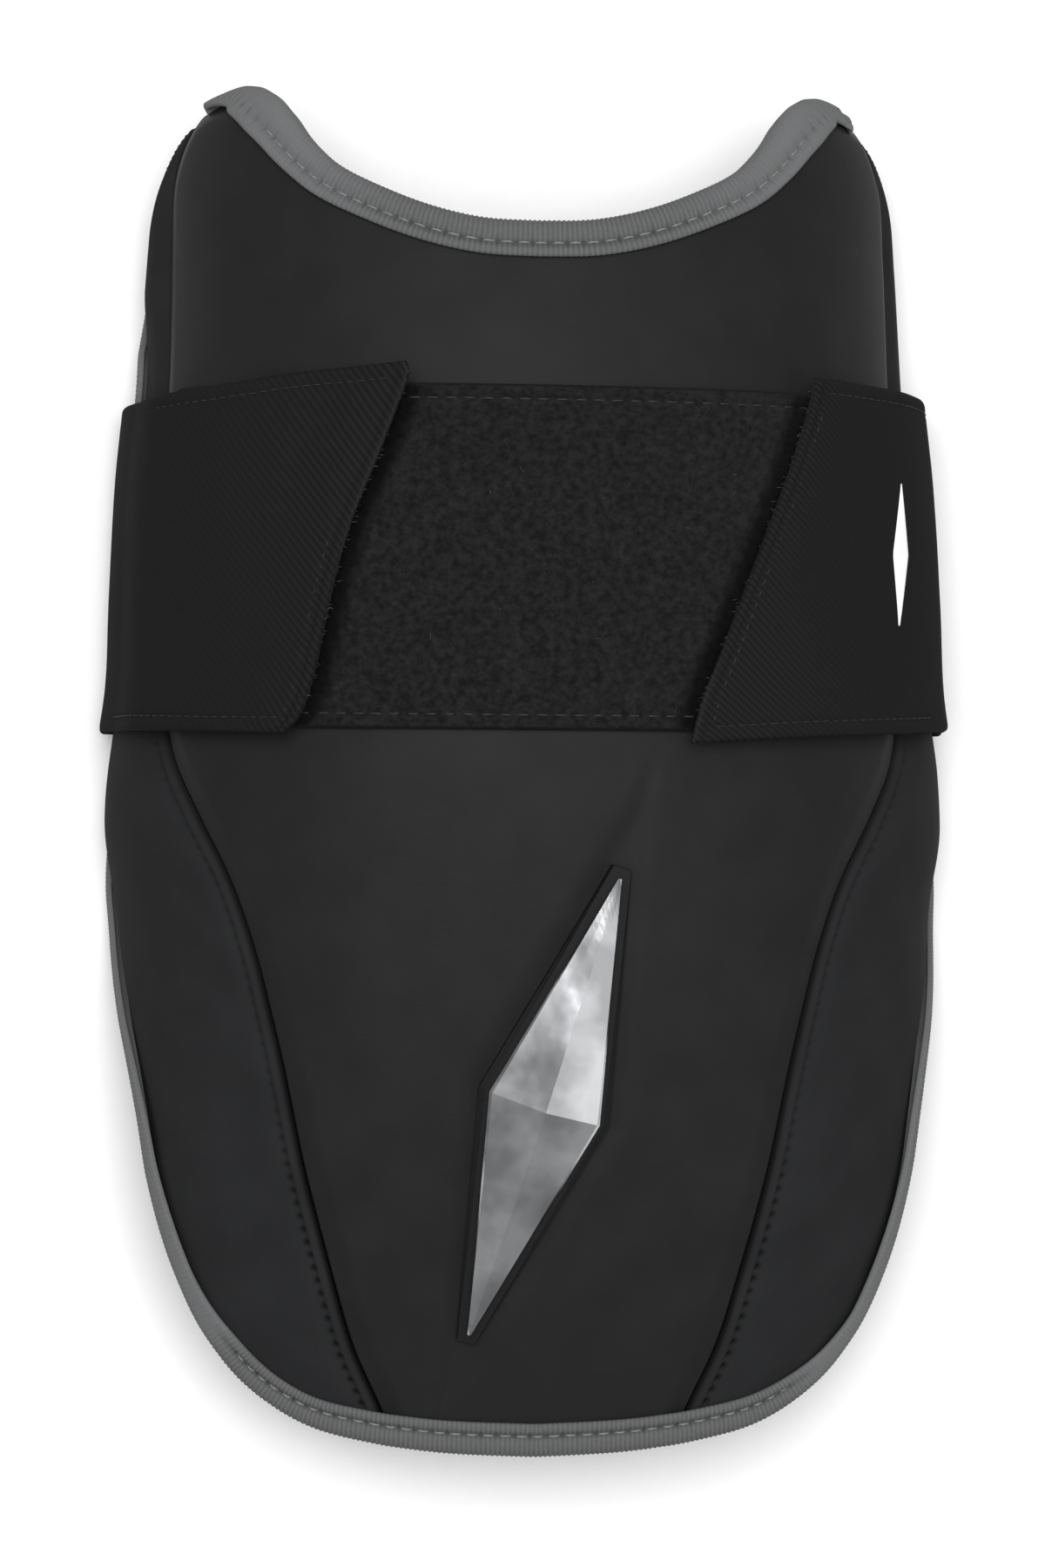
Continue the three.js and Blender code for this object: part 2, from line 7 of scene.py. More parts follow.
import bpy
import numpy as np
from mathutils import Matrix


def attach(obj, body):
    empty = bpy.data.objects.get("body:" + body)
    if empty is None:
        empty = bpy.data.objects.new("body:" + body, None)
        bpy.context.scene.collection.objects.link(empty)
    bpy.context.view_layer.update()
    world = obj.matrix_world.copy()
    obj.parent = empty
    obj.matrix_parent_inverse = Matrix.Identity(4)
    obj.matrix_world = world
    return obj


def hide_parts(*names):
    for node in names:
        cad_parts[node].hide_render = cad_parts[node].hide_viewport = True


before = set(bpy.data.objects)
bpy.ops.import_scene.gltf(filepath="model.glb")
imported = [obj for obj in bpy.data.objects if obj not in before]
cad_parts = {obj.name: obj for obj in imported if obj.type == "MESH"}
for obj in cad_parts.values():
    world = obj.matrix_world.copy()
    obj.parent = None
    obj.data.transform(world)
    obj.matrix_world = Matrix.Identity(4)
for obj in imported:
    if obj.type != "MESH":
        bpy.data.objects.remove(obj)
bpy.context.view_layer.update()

# Centre panel.
# The long middle piece of the padded shell: smooth black stretch cloth bonded to foam, cut to
# a pattern and sewn to the two wings. A shallow bed is pressed into it for the badge.
MM = 0.001
HALF_LENGTH = 121.5
HALF_WIDTH = 74.6
CREST_HEIGHT = 62.5
CREST_AT = 20.0
BEND_RADIUS = 415.0
SQUARENESS = 2.4
HORN_LEAN = 0.015
CENTRE_PAD = 9.0
EDGE_PAD = 4.5
EDGE_FLAT = 11.0
PAD_RISE = 16.0
SEAM_DIP = 1.0
SEAM_DIP_REACH = 5.0
SEAM_GAP = 0.3
CREASE_DEPTH = 1.3
CREASE_REACH = 0.36
ROLL_PUFF = dict(left=1.2, right_high=0.1, right_low=1.3)
ROLL_RADIUS = 2.5
ROLL_SINK = 0.8
# Places along the arm where an edge begins and stops rolling under.
ROLL_BELOW_STRAP = dict(start=-24.0, over=15.0, stop=20.0, fade=20.0)
ROLL_ABOVE_STRAP = dict(left=72.0, right=60.0, over=14.0)
FLAT_CORNER = dict(left=84.0, right=58.0, over=14.0)
SWELL = dict(height=0.22, a_turn=6.0, along=26.0, fade=20.0)
BADGE = dict(across=0.7, along=-58.0, length=86.0, width=20.0, tip=0.3, lean=17.5)
BACKING_MARGIN = 1.8
BED = dict(depth=0.8, soft=2.2)
PANEL_BLACK = (0.0142, 0.0144, 0.015)


def table(names, rows):
    """A short table as a dict of arrays, one for each named column."""
    return dict(zip(names.split(), np.array(rows, dtype=float).T))


# Sections of the shell: width and base are shares of HALF_WIDTH and CREST_HEIGHT.
SECTIONS = table("along width base", [
    (-1.0, 0.82, 0.128), (-0.8, 0.926, 0.12), (-0.6, 0.973, 0.11), (-0.4, 0.98, 0.075),
    (-0.25, 0.989, 0.035), (-0.12, 1.004, 0.021), (0.0, 0.998, 0.021), (0.12, 0.972, 0.021),
    (0.25, 0.964, 0.021), (0.42, 0.949, 0.025), (0.56, 0.926, 0.035), (0.76, 0.905, 0.064),
    (0.88, 0.886, 0.096), (0.95, 0.845, 0.115), (1.0, 0.764, 0.128),
])
# Turn is the share of the quarter turn from the crest to the side.
LOWER_RIM = table("turn along", [(0.0, -0.987), (0.156, -0.981), (0.262, -0.971)])
SCOOP = table("turn along", [
    (0.0, 0.778), (0.096, 0.782), (0.192, 0.802), (0.291, 0.837), (0.346, 0.862),
    (0.383, 0.887), (0.413, 0.909), (0.449, 0.937), (0.496, 0.962), (0.549, 0.978),
    (0.587, 0.984), (0.617, 0.983), (0.646, 0.979), (0.69, 0.97), (0.74, 0.955),
])
SEAM = table("along turn", [
    (-0.971, 0.262), (-0.927, 0.272), (-0.841, 0.302), (-0.72, 0.329), (-0.585, 0.361),
    (-0.459, 0.39), (-0.35, 0.418), (-0.251, 0.447), (-0.15, 0.488), (-0.067, 0.548),
    (0.017, 0.618), (0.1, 0.668), (0.22, 0.694), (0.553, 0.737), (0.682, 0.755), (0.769, 0.77),
    (0.857, 0.781), (0.955, 0.74),
])
SEAM_FROM, SEAM_TO = SEAM["along"][0] * HALF_LENGTH, SEAM["along"][-1] * HALF_LENGTH
SEAM_TURN_FROM, SEAM_TURN_TO = SEAM["turn"][0], SEAM["turn"][-1]


def smooth(value):
    """0 below 0, 1 above 1, and 3 t squared - 2 t cubed between."""
    t = np.clip(value, 0, 1)
    return t * t * (3 - 2 * t)


def mix(a, b, t):
    return a + (b - a) * t


def bump(value):
    """Bell of height 1: e to the power of minus the square."""
    return np.exp(-value * value)


def unit(vectors):
    """Vectors with the same directions and a length of 1."""
    return vectors / np.linalg.norm(vectors, axis=-1, keepdims=True)


def unit_grid(rows, columns):
    """Shares from 0 to 1 up the rows and across the columns of a grid."""
    up, across = np.linspace(0, 1, rows + 1), np.linspace(0, 1, columns + 1)
    return np.meshgrid(up, across, indexing="ij")


def look_up(rows, columns, at):
    """A table's second named column where the first is at: a cubic through the rows, each
    row's slope being that between its neighbours."""
    keys, values = (rows[name] for name in columns.split())
    n = len(keys)
    low, high = np.maximum(np.arange(n) - 1, 0), np.minimum(np.arange(n) + 1, n - 1)
    slopes = (values[high] - values[low]) / (keys[high] - keys[low])
    i = np.clip(np.searchsorted(keys, at, side="right") - 1, 0, n - 2)
    span = keys[i + 1] - keys[i]
    t = np.clip((at - keys[i]) / span, 0, 1)
    start = (2 * t**3 - 3 * t**2 + 1) * values[i] + (t**3 - 2 * t**2 + t) * span * slopes[i]
    end = (3 * t**2 - 2 * t**3) * values[i + 1] + (t**3 - t**2) * span * slopes[i + 1]
    return start + end


def rise_at(y):
    """Height of the widest point and of the crest, at a place along the arm."""
    base = CREST_HEIGHT * look_up(SECTIONS, "along base", y / HALF_LENGTH)
    return base, CREST_HEIGHT - (y - CREST_AT) ** 2 / (2 * BEND_RADIUS)


def shell(turn, y):
    """Bare shell: a superellipse across the arm, from side (turn -1 or 1) over the crest (0)."""
    turn, y = np.broadcast_arrays(turn, y)
    s, c = np.sin(turn * np.pi / 2), np.cos(turn * np.pi / 2)
    k = (np.abs(s) ** SQUARENESS + np.abs(c) ** SQUARENESS) ** (-1 / SQUARENESS)
    base, crest = rise_at(y)
    x = HALF_WIDTH * look_up(SECTIONS, "along width", y / HALF_LENGTH) * k * s
    lean = HORN_LEAN * x * smooth(y / HALF_LENGTH + 0.5)
    return np.stack([x, y - lean, base + (crest - base) * k * c], -1)


def shell_frame(turn, y):
    """Steps of the shell for a unit of turn and a mm along, and its normal, their product."""
    small = 0.002
    by_turn = (shell(turn + small, y) - shell(turn - small, y)) / (2 * small)
    by_y = (shell(turn, y + small) - shell(turn, y - small)) / (2 * small)
    return by_turn, by_y, unit(np.cross(by_turn, by_y))


def mm_a_turn(turn, y):
    """Length of one unit of turn at a place on the shell."""
    return np.linalg.norm(shell_frame(turn, y)[0], axis=-1)


def off_shell(turn, y, height):
    """Point of the shell moved outwards along its normal."""
    height = np.broadcast_to(height, np.broadcast(turn, y).shape)
    return shell(turn, y) + shell_frame(turn, y)[2] * height[..., None]


def seam_turn(y):
    return look_up(SEAM, "along turn", y / HALF_LENGTH)


def from_seam(turn, y):
    """Distance from the nearer seam: turns apart, times mm a turn, times the seam's slant."""
    scale = mm_a_turn(turn, y)
    slant = (seam_turn(y + 1) - seam_turn(y - 1)) / 2 * scale
    return np.abs(np.abs(turn) - seam_turn(y)) * scale / np.sqrt(1 + slant**2)


STRAP_AT = 36.9
STRAP_WIDTH = 61.0
STRAP_THICKNESS = 2.0
STRAP_CORNER = 6.0
RIM_CLEAR = 2.0
RIM_FADE = 16.0
TAPE_THICKNESS = 0.9
TAPE_GAP = 0.36
RIM_RAISED = STRAP_THICKNESS + STRAP_CORNER + TAPE_THICKNESS + TAPE_GAP
SIDE_RIM = table("along turn", [
    (-0.971, 0.262), (-0.954, 0.362), (-0.937, 0.42), (-0.907, 0.481), (-0.875, 0.527),
    (-0.843, 0.558), (-0.802, 0.592), (-0.761, 0.617), (-0.677, 0.662), (-0.594, 0.698),
    (-0.51, 0.73), (-0.426, 0.785), (-0.343, 0.862), (-0.262, 0.94), (-0.19, 0.987),
    (-0.13, 1.0), (0.55, 1.0), (0.66, 0.93), (0.73, 0.905), (0.8, 0.875), (0.86, 0.84),
    (0.915, 0.79), (0.955, 0.74),
])


def side_rim_turn(y):
    """Turn of the side rim: a table's, or less where the rim is cut away for the strap."""
    beyond = np.abs(y - STRAP_AT) - STRAP_WIDTH / 2 - RIM_CLEAR
    height = RIM_RAISED * (1 - smooth(beyond / RIM_FADE))
    base, crest = rise_at(y)
    share = np.clip((height - base) / (crest - base), 0, 1)
    across = (1 - share**SQUARENESS) ** (1 / SQUARENESS)
    bare = look_up(SIDE_RIM, "along turn", y / HALF_LENGTH)
    return np.minimum(bare, np.arctan2(across, share) * 2 / np.pi)


def rim_places(steps):
    """Turn and y once round the edge: scoop, right side down, lower end, left side up."""
    v = np.linspace(0, 1, steps, endpoint=False)
    scoop_turn = mix(-SEAM_TURN_TO, SEAM_TURN_TO, v)
    side_y = mix(SEAM_TO, SEAM_FROM, v)
    lower_turn = mix(SEAM_TURN_FROM, -SEAM_TURN_FROM, v)
    scoop_y = look_up(SCOOP, "turn along", np.abs(scoop_turn)) * HALF_LENGTH
    lower_y = look_up(LOWER_RIM, "turn along", np.abs(lower_turn)) * HALF_LENGTH
    up_y = mix(SEAM_FROM, SEAM_TO, v)
    turn = np.concatenate([scoop_turn, side_rim_turn(side_y), lower_turn, -side_rim_turn(up_y)])
    return turn, np.concatenate([scoop_y, side_y, lower_y, up_y])


RIM_POINTS = shell(*rim_places(400))


def from_rim(turn, y):
    """Distance from the nearest point of the edge, worked out a block of points at a time."""
    points = shell(turn, y).reshape(-1, 3)
    blocks = [
        ((block[:, None] - RIM_POINTS[None]) ** 2).sum(-1).min(1)
        for block in np.array_split(points, 1 + len(points) // 4000)
    ]
    return np.sqrt(np.concatenate(blocks)).reshape(np.shape(turn))


def rolled_under(turn, y):
    """0 to 1: just below the strap, and above it, the wings' edges roll under and take the
    tape with them. Above it the left one does so a little higher up."""
    below, above = ROLL_BELOW_STRAP, ROLL_ABOVE_STRAP
    stopping = smooth((y - below["stop"]) / below["fade"])
    below_strap = smooth((y - below["start"]) / below["over"]) * (1 - stopping)
    start = np.where(turn < 0, above["left"], above["right"])
    return np.maximum(below_strap, smooth((y - start) / above["over"]))


def near_corner(turn, y):
    """0 to 1: towards the horns' outer corners the tape is flat behind the wings' edges, on
    the right from just above the strap."""
    start = np.where(turn < 0, FLAT_CORNER["left"], FLAT_CORNER["right"])
    return smooth((y - start) / FLAT_CORNER["over"])


def lattice_noise(x, y, seed):
    """Smooth noise from -1 to 1: random values on a unit lattice, blended by smooth steps."""
    values = np.random.default_rng(seed).uniform(-1, 1, (97, 97))
    i, j = np.floor(x).astype(int), np.floor(y).astype(int)
    near, far = values[i % 97, j % 97], values[(i + 1) % 97, j % 97]
    near_up, far_up = values[i % 97, (j + 1) % 97], values[(i + 1) % 97, (j + 1) % 97]
    u, v = smooth(x - i), smooth(y - j)
    return mix(mix(near, far, u), mix(near_up, far_up, u), v)


def grid_faces(first, rows, columns):
    """Quads of a grid of points, against the clock where columns run right and rows run up."""
    n = first + np.arange((rows + 1) * (columns + 1)).reshape(rows + 1, columns + 1)
    corners = [n[:-1, :-1], n[:-1, 1:], n[1:, 1:], n[1:, :-1]]
    return np.stack([c.ravel() for c in corners], -1)


def grid_border(first, rows, columns):
    """Point numbers once round a grid, against the clock."""
    n = first + np.arange((rows + 1) * (columns + 1)).reshape(rows + 1, columns + 1)
    return np.concatenate([n[0, :-1], n[:-1, -1], n[-1, :0:-1], n[:0:-1, 0]])


def border_faces(fine, coarse):
    """Triangles between two borders, the first with a whole multiple of the second's points."""
    times = len(fine) // len(coarse)
    i, j = np.arange(len(fine)), np.arange(len(coarse))
    near = coarse[((i + times / 2) // times).astype(int) % len(coarse)]
    middle = fine[np.ceil((j + 0.5) * times).astype(int) % len(fine)]
    return np.concatenate([
        np.stack([np.roll(fine, -1), fine, near], -1),
        np.stack([coarse, np.roll(coarse, -1), middle], -1),
    ])


def add_mesh(name, points, *faces, cloth=None):
    """Smooth closed mesh from points in mm and arrays of corners. cloth is the place on it."""
    mesh = bpy.data.meshes.new(name)
    corners = sum((numbers.tolist() for numbers in faces), [])
    mesh.from_pydata((points.reshape(-1, 3) * MM).tolist(), [], corners)
    mesh.shade_smooth()
    if cloth is not None:
        layer = mesh.attributes.new("cloth", "FLOAT_VECTOR", "POINT")
        layer.data.foreach_set("vector", cloth.reshape(-1).astype(np.float32))
    piece = bpy.data.objects.new(name, mesh)
    bpy.context.scene.collection.objects.link(piece)
    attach(piece, "root")
    return piece


def add_body(name, outer, inner, cloth, every):
    """Body between a fine outer grid and the inner grid's every nth point, walled all round."""
    rows, columns = outer.shape[0] - 1, outer.shape[1] - 1
    coarse = inner[::every, ::every]
    first = outer.shape[0] * outer.shape[1]
    lining = grid_faces(first, rows // every, columns // every)[:, ::-1]
    wall = border_faces(
        grid_border(0, rows, columns), grid_border(first, rows // every, columns // every)
    )
    points = np.concatenate([outer.reshape(-1, 3), coarse.reshape(-1, 3)])
    pattern = np.concatenate([cloth.reshape(-1, 3), cloth[::every, ::every].reshape(-1, 3)])
    return add_mesh(name, points, grid_faces(0, rows, columns), lining, wall, cloth=pattern)


def cloth_places(points):
    """Place on the cloth: mm along each row from its middle, and mm up the arm."""
    steps = np.linalg.norm(np.diff(points, axis=1), axis=-1)
    across = np.concatenate([np.zeros((len(points), 1)), np.cumsum(steps, 1)], 1)
    middle = across[:, across.shape[1] // 2, None]
    return np.stack([across - middle, points[..., 1], np.zeros_like(across)], -1)


def panel_faces(turn, y, full_pad, relief, rolled):
    """Outer and inner face of a panel: pressed thin at edges and seams, full between them.
    Where its edge is rolled under, the cloth bulges over it in a quarter round instead."""
    rim, seam = from_rim(turn, y), from_seam(turn, y)
    pressed = (1 - smooth(rim / SEAM_DIP_REACH)) * (1 - rolled)
    dip = SEAM_DIP * np.maximum(pressed, 1 - smooth(seam / SEAM_DIP_REACH))
    rise = smooth((rim - EDGE_FLAT) / PAD_RISE) * smooth(seam / PAD_RISE)
    thickness = mix(EDGE_PAD, full_pad, rise)
    swell = SWELL["height"] * lattice_noise(turn * SWELL["a_turn"] + 3, y / SWELL["along"], 11)
    swell = swell * smooth(rim / SWELL["fade"])
    round_edge = np.sqrt(1 - (1 - np.clip(rim / ROLL_RADIUS, 0, 1)) ** 2)
    puff_right = np.where(y > 30, ROLL_PUFF["right_high"], ROLL_PUFF["right_low"])
    puff = np.where(turn < 0, ROLL_PUFF["left"], puff_right) * smooth(seam / 7)
    bulge = rolled * (puff + ROLL_SINK) * round_edge - ROLL_SINK * rolled
    outer = off_shell(turn, y, relief - dip + swell + bulge)
    raised = SEAM_DIP * (1 - smooth(np.minimum(rim, seam) / SEAM_DIP_REACH))
    return outer, off_shell(turn, y, raised - thickness)


def node(tree, kind, **values):
    """A shader node with its properties and inputs set by name, inputs with _ for a space."""
    made = tree.nodes.new("ShaderNode" + kind)
    for key, value in values.items():
        if hasattr(made, key):
            setattr(made, key, value)
        else:
            made.inputs[key.replace("_", " ")].default_value = value
    return made


def join(tree, *links):
    """Links given as node, output, node, input."""
    for source, out, target, into in links:
        tree.links.new(source.outputs[out], target.inputs[into])


def new_finish(name, **shader_values):
    """A material with its Principled shader's constant values set on the shader itself."""
    material = bpy.data.materials.new(name)
    material.use_nodes = True
    shader = material.node_tree.nodes["Principled BSDF"]
    for key, value in shader_values.items():
        shader.inputs[key.replace("_", " ")].default_value = value
    return material, material.node_tree, shader


def ramp_between(tree, low, high, dark, light):
    """A colour ramp from dark at low to light at high."""
    ramp = tree.nodes.new("ShaderNodeValToRGB")
    ramp.color_ramp.elements[0].position = low
    ramp.color_ramp.elements[1].position = high
    ramp.color_ramp.elements[0].color = (*dark, 1)
    ramp.color_ramp.elements[1].color = (*light, 1)
    return ramp


def blend_to(tree, colour, **values):
    """A mix of a colour, input 6, with a fixed one, by input 0."""
    made = node(tree, "Mix", data_type="RGBA", **values)
    made.inputs[7].default_value = (*colour, 1)
    return made


def cloth_inputs(tree):
    """The node that reads cloth, and one that gives its three values apart."""
    place, split = node(tree, "Attribute", attribute_name="cloth"), node(tree, "SeparateXYZ")
    join(tree, (place, "Vector", split, 0))
    return place, split


def shade(colour, share):
    return tuple(channel * share for channel in colour)


def stretch_cloth(name, colour, roughness, gloss):
    """Smooth knit: a grain of 0.4 mm, faint courses across the arm, and soft mottling. The third
    value of cloth, 0 to 1, paints shade into the needle holes and the seam's crease."""
    material, tree, shader = new_finish(name, Roughness=roughness, Specular_IOR_Level=gloss)
    place, split = cloth_inputs(tree)
    grain = node(tree, "TexNoise", Scale=2.4, Detail=2.0, Roughness=0.6)
    courses = node(tree, "Mapping", Scale=(0.12, 1.7, 1.0))
    streak = node(tree, "TexNoise", Scale=1.0, Detail=2.0)
    mottle = node(tree, "TexNoise", Scale=0.09, Detail=3.0)
    both = node(tree, "Mix", data_type="FLOAT", Factor=0.35)
    tone = ramp_between(tree, 0.35, 0.65, shade(colour, 0.93), shade(colour, 1.07))
    # Painted shade: the third value of cloth darkens the needle holes and the seam's crease.
    dark = blend_to(tree, (0.2,) * 3, blend_type="MULTIPLY")
    relief = node(tree, "Bump", Strength=0.35, Distance=0.00012)
    join(
        tree,
        (place, "Vector", grain, "Vector"),
        (place, "Vector", courses, "Vector"),
        (courses, "Vector", streak, "Vector"),
        (place, "Vector", mottle, "Vector"),
        (grain, 0, both, 2),
        (streak, 0, both, 3),
        (both, 0, relief, "Height"),
        (mottle, 0, tone, 0),
        (split, "Z", dark, 0),
        (tone, 0, dark, 6),
        (dark, 2, shader, "Base Color"),
        (relief, 0, shader, "Normal"),
    )
    return material


def centre_panel():
    """Rows run from the lower rim to the scoop, columns from seam to seam, crowded at both."""
    rows, columns = 300, 180
    v, u = unit_grid(rows, columns)
    across = mix(2 * u - 1, -np.cos(np.pi * u), 0.8)
    row_y = mix(SEAM_FROM, SEAM_TO, v)
    seam = seam_turn(row_y)
    turn = across * (seam - SEAM_GAP / 2 / mm_a_turn(seam, row_y))
    lower = look_up(LOWER_RIM, "turn along", np.abs(across) * SEAM_TURN_FROM)
    upper = look_up(SCOOP, "turn along", np.abs(across) * SEAM_TURN_TO)
    y = mix(lower, upper, v) * HALF_LENGTH
    crease = -CREASE_DEPTH * bump(from_seam(turn, y) / CREASE_REACH)
    flat = shell(turn, y)
    x, up = flat[..., 0] - BADGE["across"], y - BADGE["along"]
    lean = math.radians(BADGE["lean"])
    share = 2 * np.abs(x * math.cos(lean) - up * math.sin(lean)) / BADGE["width"]
    share = share + 2 * np.abs(up * math.cos(lean) + x * math.sin(lean)) / BADGE["length"]
    inner_reach = BADGE["length"] * BADGE["width"] / 2 / math.hypot(BADGE["length"], BADGE["width"])
    beyond = (share - 1) * inner_reach - BACKING_MARGIN
    bed = -BED["depth"] * bump(np.maximum(beyond, 0) / BED["soft"])
    outer, inner = panel_faces(turn, y, CENTRE_PAD, crease + bed, 0)
    return add_body("centre_panel_cloth", outer, inner, cloth_places(flat), 4)


panel = centre_panel()
panel.data.materials.append(stretch_cloth("panel_cloth", PANEL_BLACK, roughness=0.5, gloss=0.055))
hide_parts("centre_panel")

# Wings.
# The two padded side panels beyond the seams. Their seam allowance is turned under and
# topstitched, which leaves a low ridge and a row of needle holes beside each seam.
WING_PAD = 6.0
WING_BLACK = (0.0175, 0.0178, 0.0187)
TOPSTITCH = dict(away=2.45, pitch=2.4, depth=0.5, hole=0.5, groove=0.14, reach=0.42, until=4.0)
WING_CREASE = 0.3
# Painted shade in the seam's crease: its darkness, and its reach in mm.
SEAM_PAINTED_SHADE = dict(share=0.8, reach=0.5)
SIDES = ((-1, "left"), (1, "right"))
CORNER_REACH = 2.2
CORNER_FADE = 7.0
# Further up the needle holes are hardly to be seen.
FAINT = dict(share=0.3, start=-82.0, over=28.0)
RIDGE = dict(height=0.5, away=1.3, reach=0.8)
FOLD = dict(start=62.0, stop=112.0, depth=0.3, away=1.2, reach=1.5)


def length_along(points):
    """Length from the first of a row of points to each of them."""
    return np.concatenate([[0], np.cumsum(np.linalg.norm(np.diff(points, axis=0), axis=-1))])


def seam_length(y):
    """Length of the seam from its lower end to a place along the arm."""
    row = np.linspace(SEAM_FROM, SEAM_TO, 2000)
    return np.interp(y, row, length_along(shell(seam_turn(row), row)))


def wing_relief(turn, y):
    """Ridge and stitched groove beside the lower seam, and a deeper fold beside the upper one.
    Also gives the painted shade of each point, 0 to 1: in a needle hole or in the seam's crease."""
    away = from_seam(turn, y)
    stitched = 1 - smooth((y - TOPSTITCH["until"]) / 6)
    folded = smooth((y - FOLD["start"]) / 8) * smooth((FOLD["stop"] - y) / 10)
    phase = seam_length(y) / TOPSTITCH["pitch"]
    clear = mix(1, FAINT["share"], smooth((y - FAINT["start"]) / FAINT["over"]))
    from_hole = (phase - np.round(phase)) * TOPSTITCH["pitch"]
    hole = stitched * clear * bump(from_hole / TOPSTITCH["hole"])
    sewn = bump((away - TOPSTITCH["away"]) / TOPSTITCH["reach"])
    relief = (
        stitched * RIDGE["height"] * bump((away - RIDGE["away"]) / RIDGE["reach"])
        - (TOPSTITCH["groove"] * stitched + TOPSTITCH["depth"] * hole) * sewn
        - folded * FOLD["depth"] * bump((away - FOLD["away"]) / FOLD["reach"])
        - CREASE_DEPTH * bump(away / WING_CREASE)
    )
    return relief, np.maximum(hole * sewn, SEAM_PAINTED_SHADE["share"] * bump(away / SEAM_PAINTED_SHADE["reach"]))


def wing(name, side):
    """Rows run up the seam, columns from the seam to the rim, crowded at the seam. At the
    horn's corner the outer face reaches past the rim, over the tape's end."""
    rows, columns = 640, 84
    ends = 0.002
    v, u = unit_grid(rows, columns)
    y = mix(SEAM_FROM, SEAM_TO, mix(ends, 1 - ends, v))
    seam = seam_turn(y)
    rim = np.maximum(side_rim_turn(y), seam)
    start = seam + np.minimum(SEAM_GAP / 2 / mm_a_turn(seam, y), (rim - seam) / 2)
    turn = side * mix(start, rim, u**1.9)
    if side < 0:
        turn, y = turn[:, ::-1], y[:, ::-1]
    relief, holes = wing_relief(turn, y)
    outer, inner = panel_faces(turn, y, WING_PAD, relief, rolled_under(turn, y))
    sideways = unit(side * shell_frame(turn, y)[0])
    at_edge = (1 - smooth(from_rim(turn, y) / CORNER_FADE)) * smooth(from_seam(turn, y) / 1.2)
    reach = CORNER_REACH * (near_corner(turn, y) * at_edge)
    outer = outer + sideways * reach[..., None]
    cloth = cloth_places(shell(turn, y))
    # Painted shade in the needle holes and in the seam's crease.
    cloth[..., 2] = holes
    return add_body(name, outer, inner, cloth, 4)


wing_finish = stretch_cloth("wing_cloth", WING_BLACK, roughness=0.8, gloss=0.03)
for side, side_name in SIDES:
    made = wing(side_name + "_wing_cloth", side)
    made.data.materials.append(wing_finish)
    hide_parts(side_name + "_wing")

# Topstitching beside the two lower seams.
# Black polyester thread, pulled down into the foam at needle holes 2.4 mm apart.
THREAD_BLACK = (0.008, 0.008, 0.009)


def add_thread(name, line, normals, length_at, holes, rise, sink, radius):
    """Stitches from hole to hole: a six-sided section carried along half a sine that sinks at
    both holes. line, normals and length_at give the sewn line, its normals and its length."""
    steps, sides = 7, 6
    t = np.linspace(0, 1, steps)
    at = mix(holes[:-1, None], holes[1:, None], mix(0.06, 0.94, t)[None])

    def along(values):
        return np.stack([np.interp(at, length_at, values[:, k]) for k in range(3)], -1)

    up = along(normals)
    arch = np.sin(np.pi * t)
    middle = along(line) + up * (rise * arch - sink * (1 - arch) ** 2)[None, :, None]
    beside = np.cross(unit(along(np.gradient(line, axis=0))), up)
    angle = np.arange(sides) * 2 * np.pi / sides
    thin = radius * mix(0.45, 1, arch**0.5)[None, :, None, None]
    circle = beside[:, :, None] * np.cos(angle)[:, None] + up[:, :, None] * np.sin(angle)[:, None]
    points = middle[:, :, None] + circle * thin
    number = np.arange(points.size // 3).reshape(points.shape[:3])
    this, after = number[:, :-1], number[:, 1:]
    walls = np.stack([np.roll(this, -1, 2), np.roll(after, -1, 2), after, this], -1)
    return add_mesh(name, points, walls.reshape(-1, 4), number[:, 0], number[:, -1, ::-1])


def grained(name, on_cloth, texture, tones, relief=None, rough=None, **shader_values):
    """A material whose tone, relief and roughness follow one texture, laid on the cloth or in
    space. tones are a ramp's four values, rough the roughness from low to high."""
    material, tree, shader = new_finish(name, **shader_values)
    if on_cloth:
        place = (node(tree, "Attribute", attribute_name="cloth"), "Vector")
    else:
        place = (node(tree, "TexCoord"), "Object")
    kind, values = texture
    grain = node(tree, kind, **values)
    tone = ramp_between(tree, *tones)
    join(tree, (*place, grain, "Vector"), (grain, 0, tone, 0), (tone, 0, shader, "Base Color"))
    if relief:
        raised = node(tree, "Bump", **relief)
        join(tree, (grain, 0, raised, "Height"), (raised, 0, shader, "Normal"))
    if rough:
        roughness = node(tree, "MapRange", To_Min=rough[0], To_Max=rough[1])
        join(tree, (grain, 0, roughness, "Value"), (roughness, 0, shader, "Roughness"))
    return material


def thread_finish(name, colour, roughness):
    """Twisted thread: fine noise for the ply, and a low sheen."""
    return grained(
        name, False, ("TexNoise", dict(Scale=2600.0, Detail=2.0)),
        (0.3, 0.7, shade(colour, 0.75), shade(colour, 1.2)),
        dict(Strength=0.4, Distance=0.00008), Roughness=roughness, Specular_IOR_Level=0.35,
    )


black_thread = thread_finish("black_thread", THREAD_BLACK, 0.6)
for side, side_name in SIDES:
    row = np.linspace(SEAM_FROM + 6, TOPSTITCH["until"] + 4, 1500)
    seam = seam_turn(row)
    turn = side * (seam + TOPSTITCH["away"] * 1.04 / mm_a_turn(seam, row))
    sewn = off_shell(turn, row, -SEAM_DIP * 0.8 - 0.15)
    length = seam_length(row)
    first, last = np.ceil(length[[0, -1]] / TOPSTITCH["pitch"])
    holes = np.arange(first, last) * TOPSTITCH["pitch"]
    normals = shell_frame(turn, row)[2]
    name = side_name + "_seam_topstitch"
    thread = add_thread(name, sewn, normals, length, holes, rise=0.02, sink=0.4, radius=0.13)
    thread.data.materials.append(black_thread)

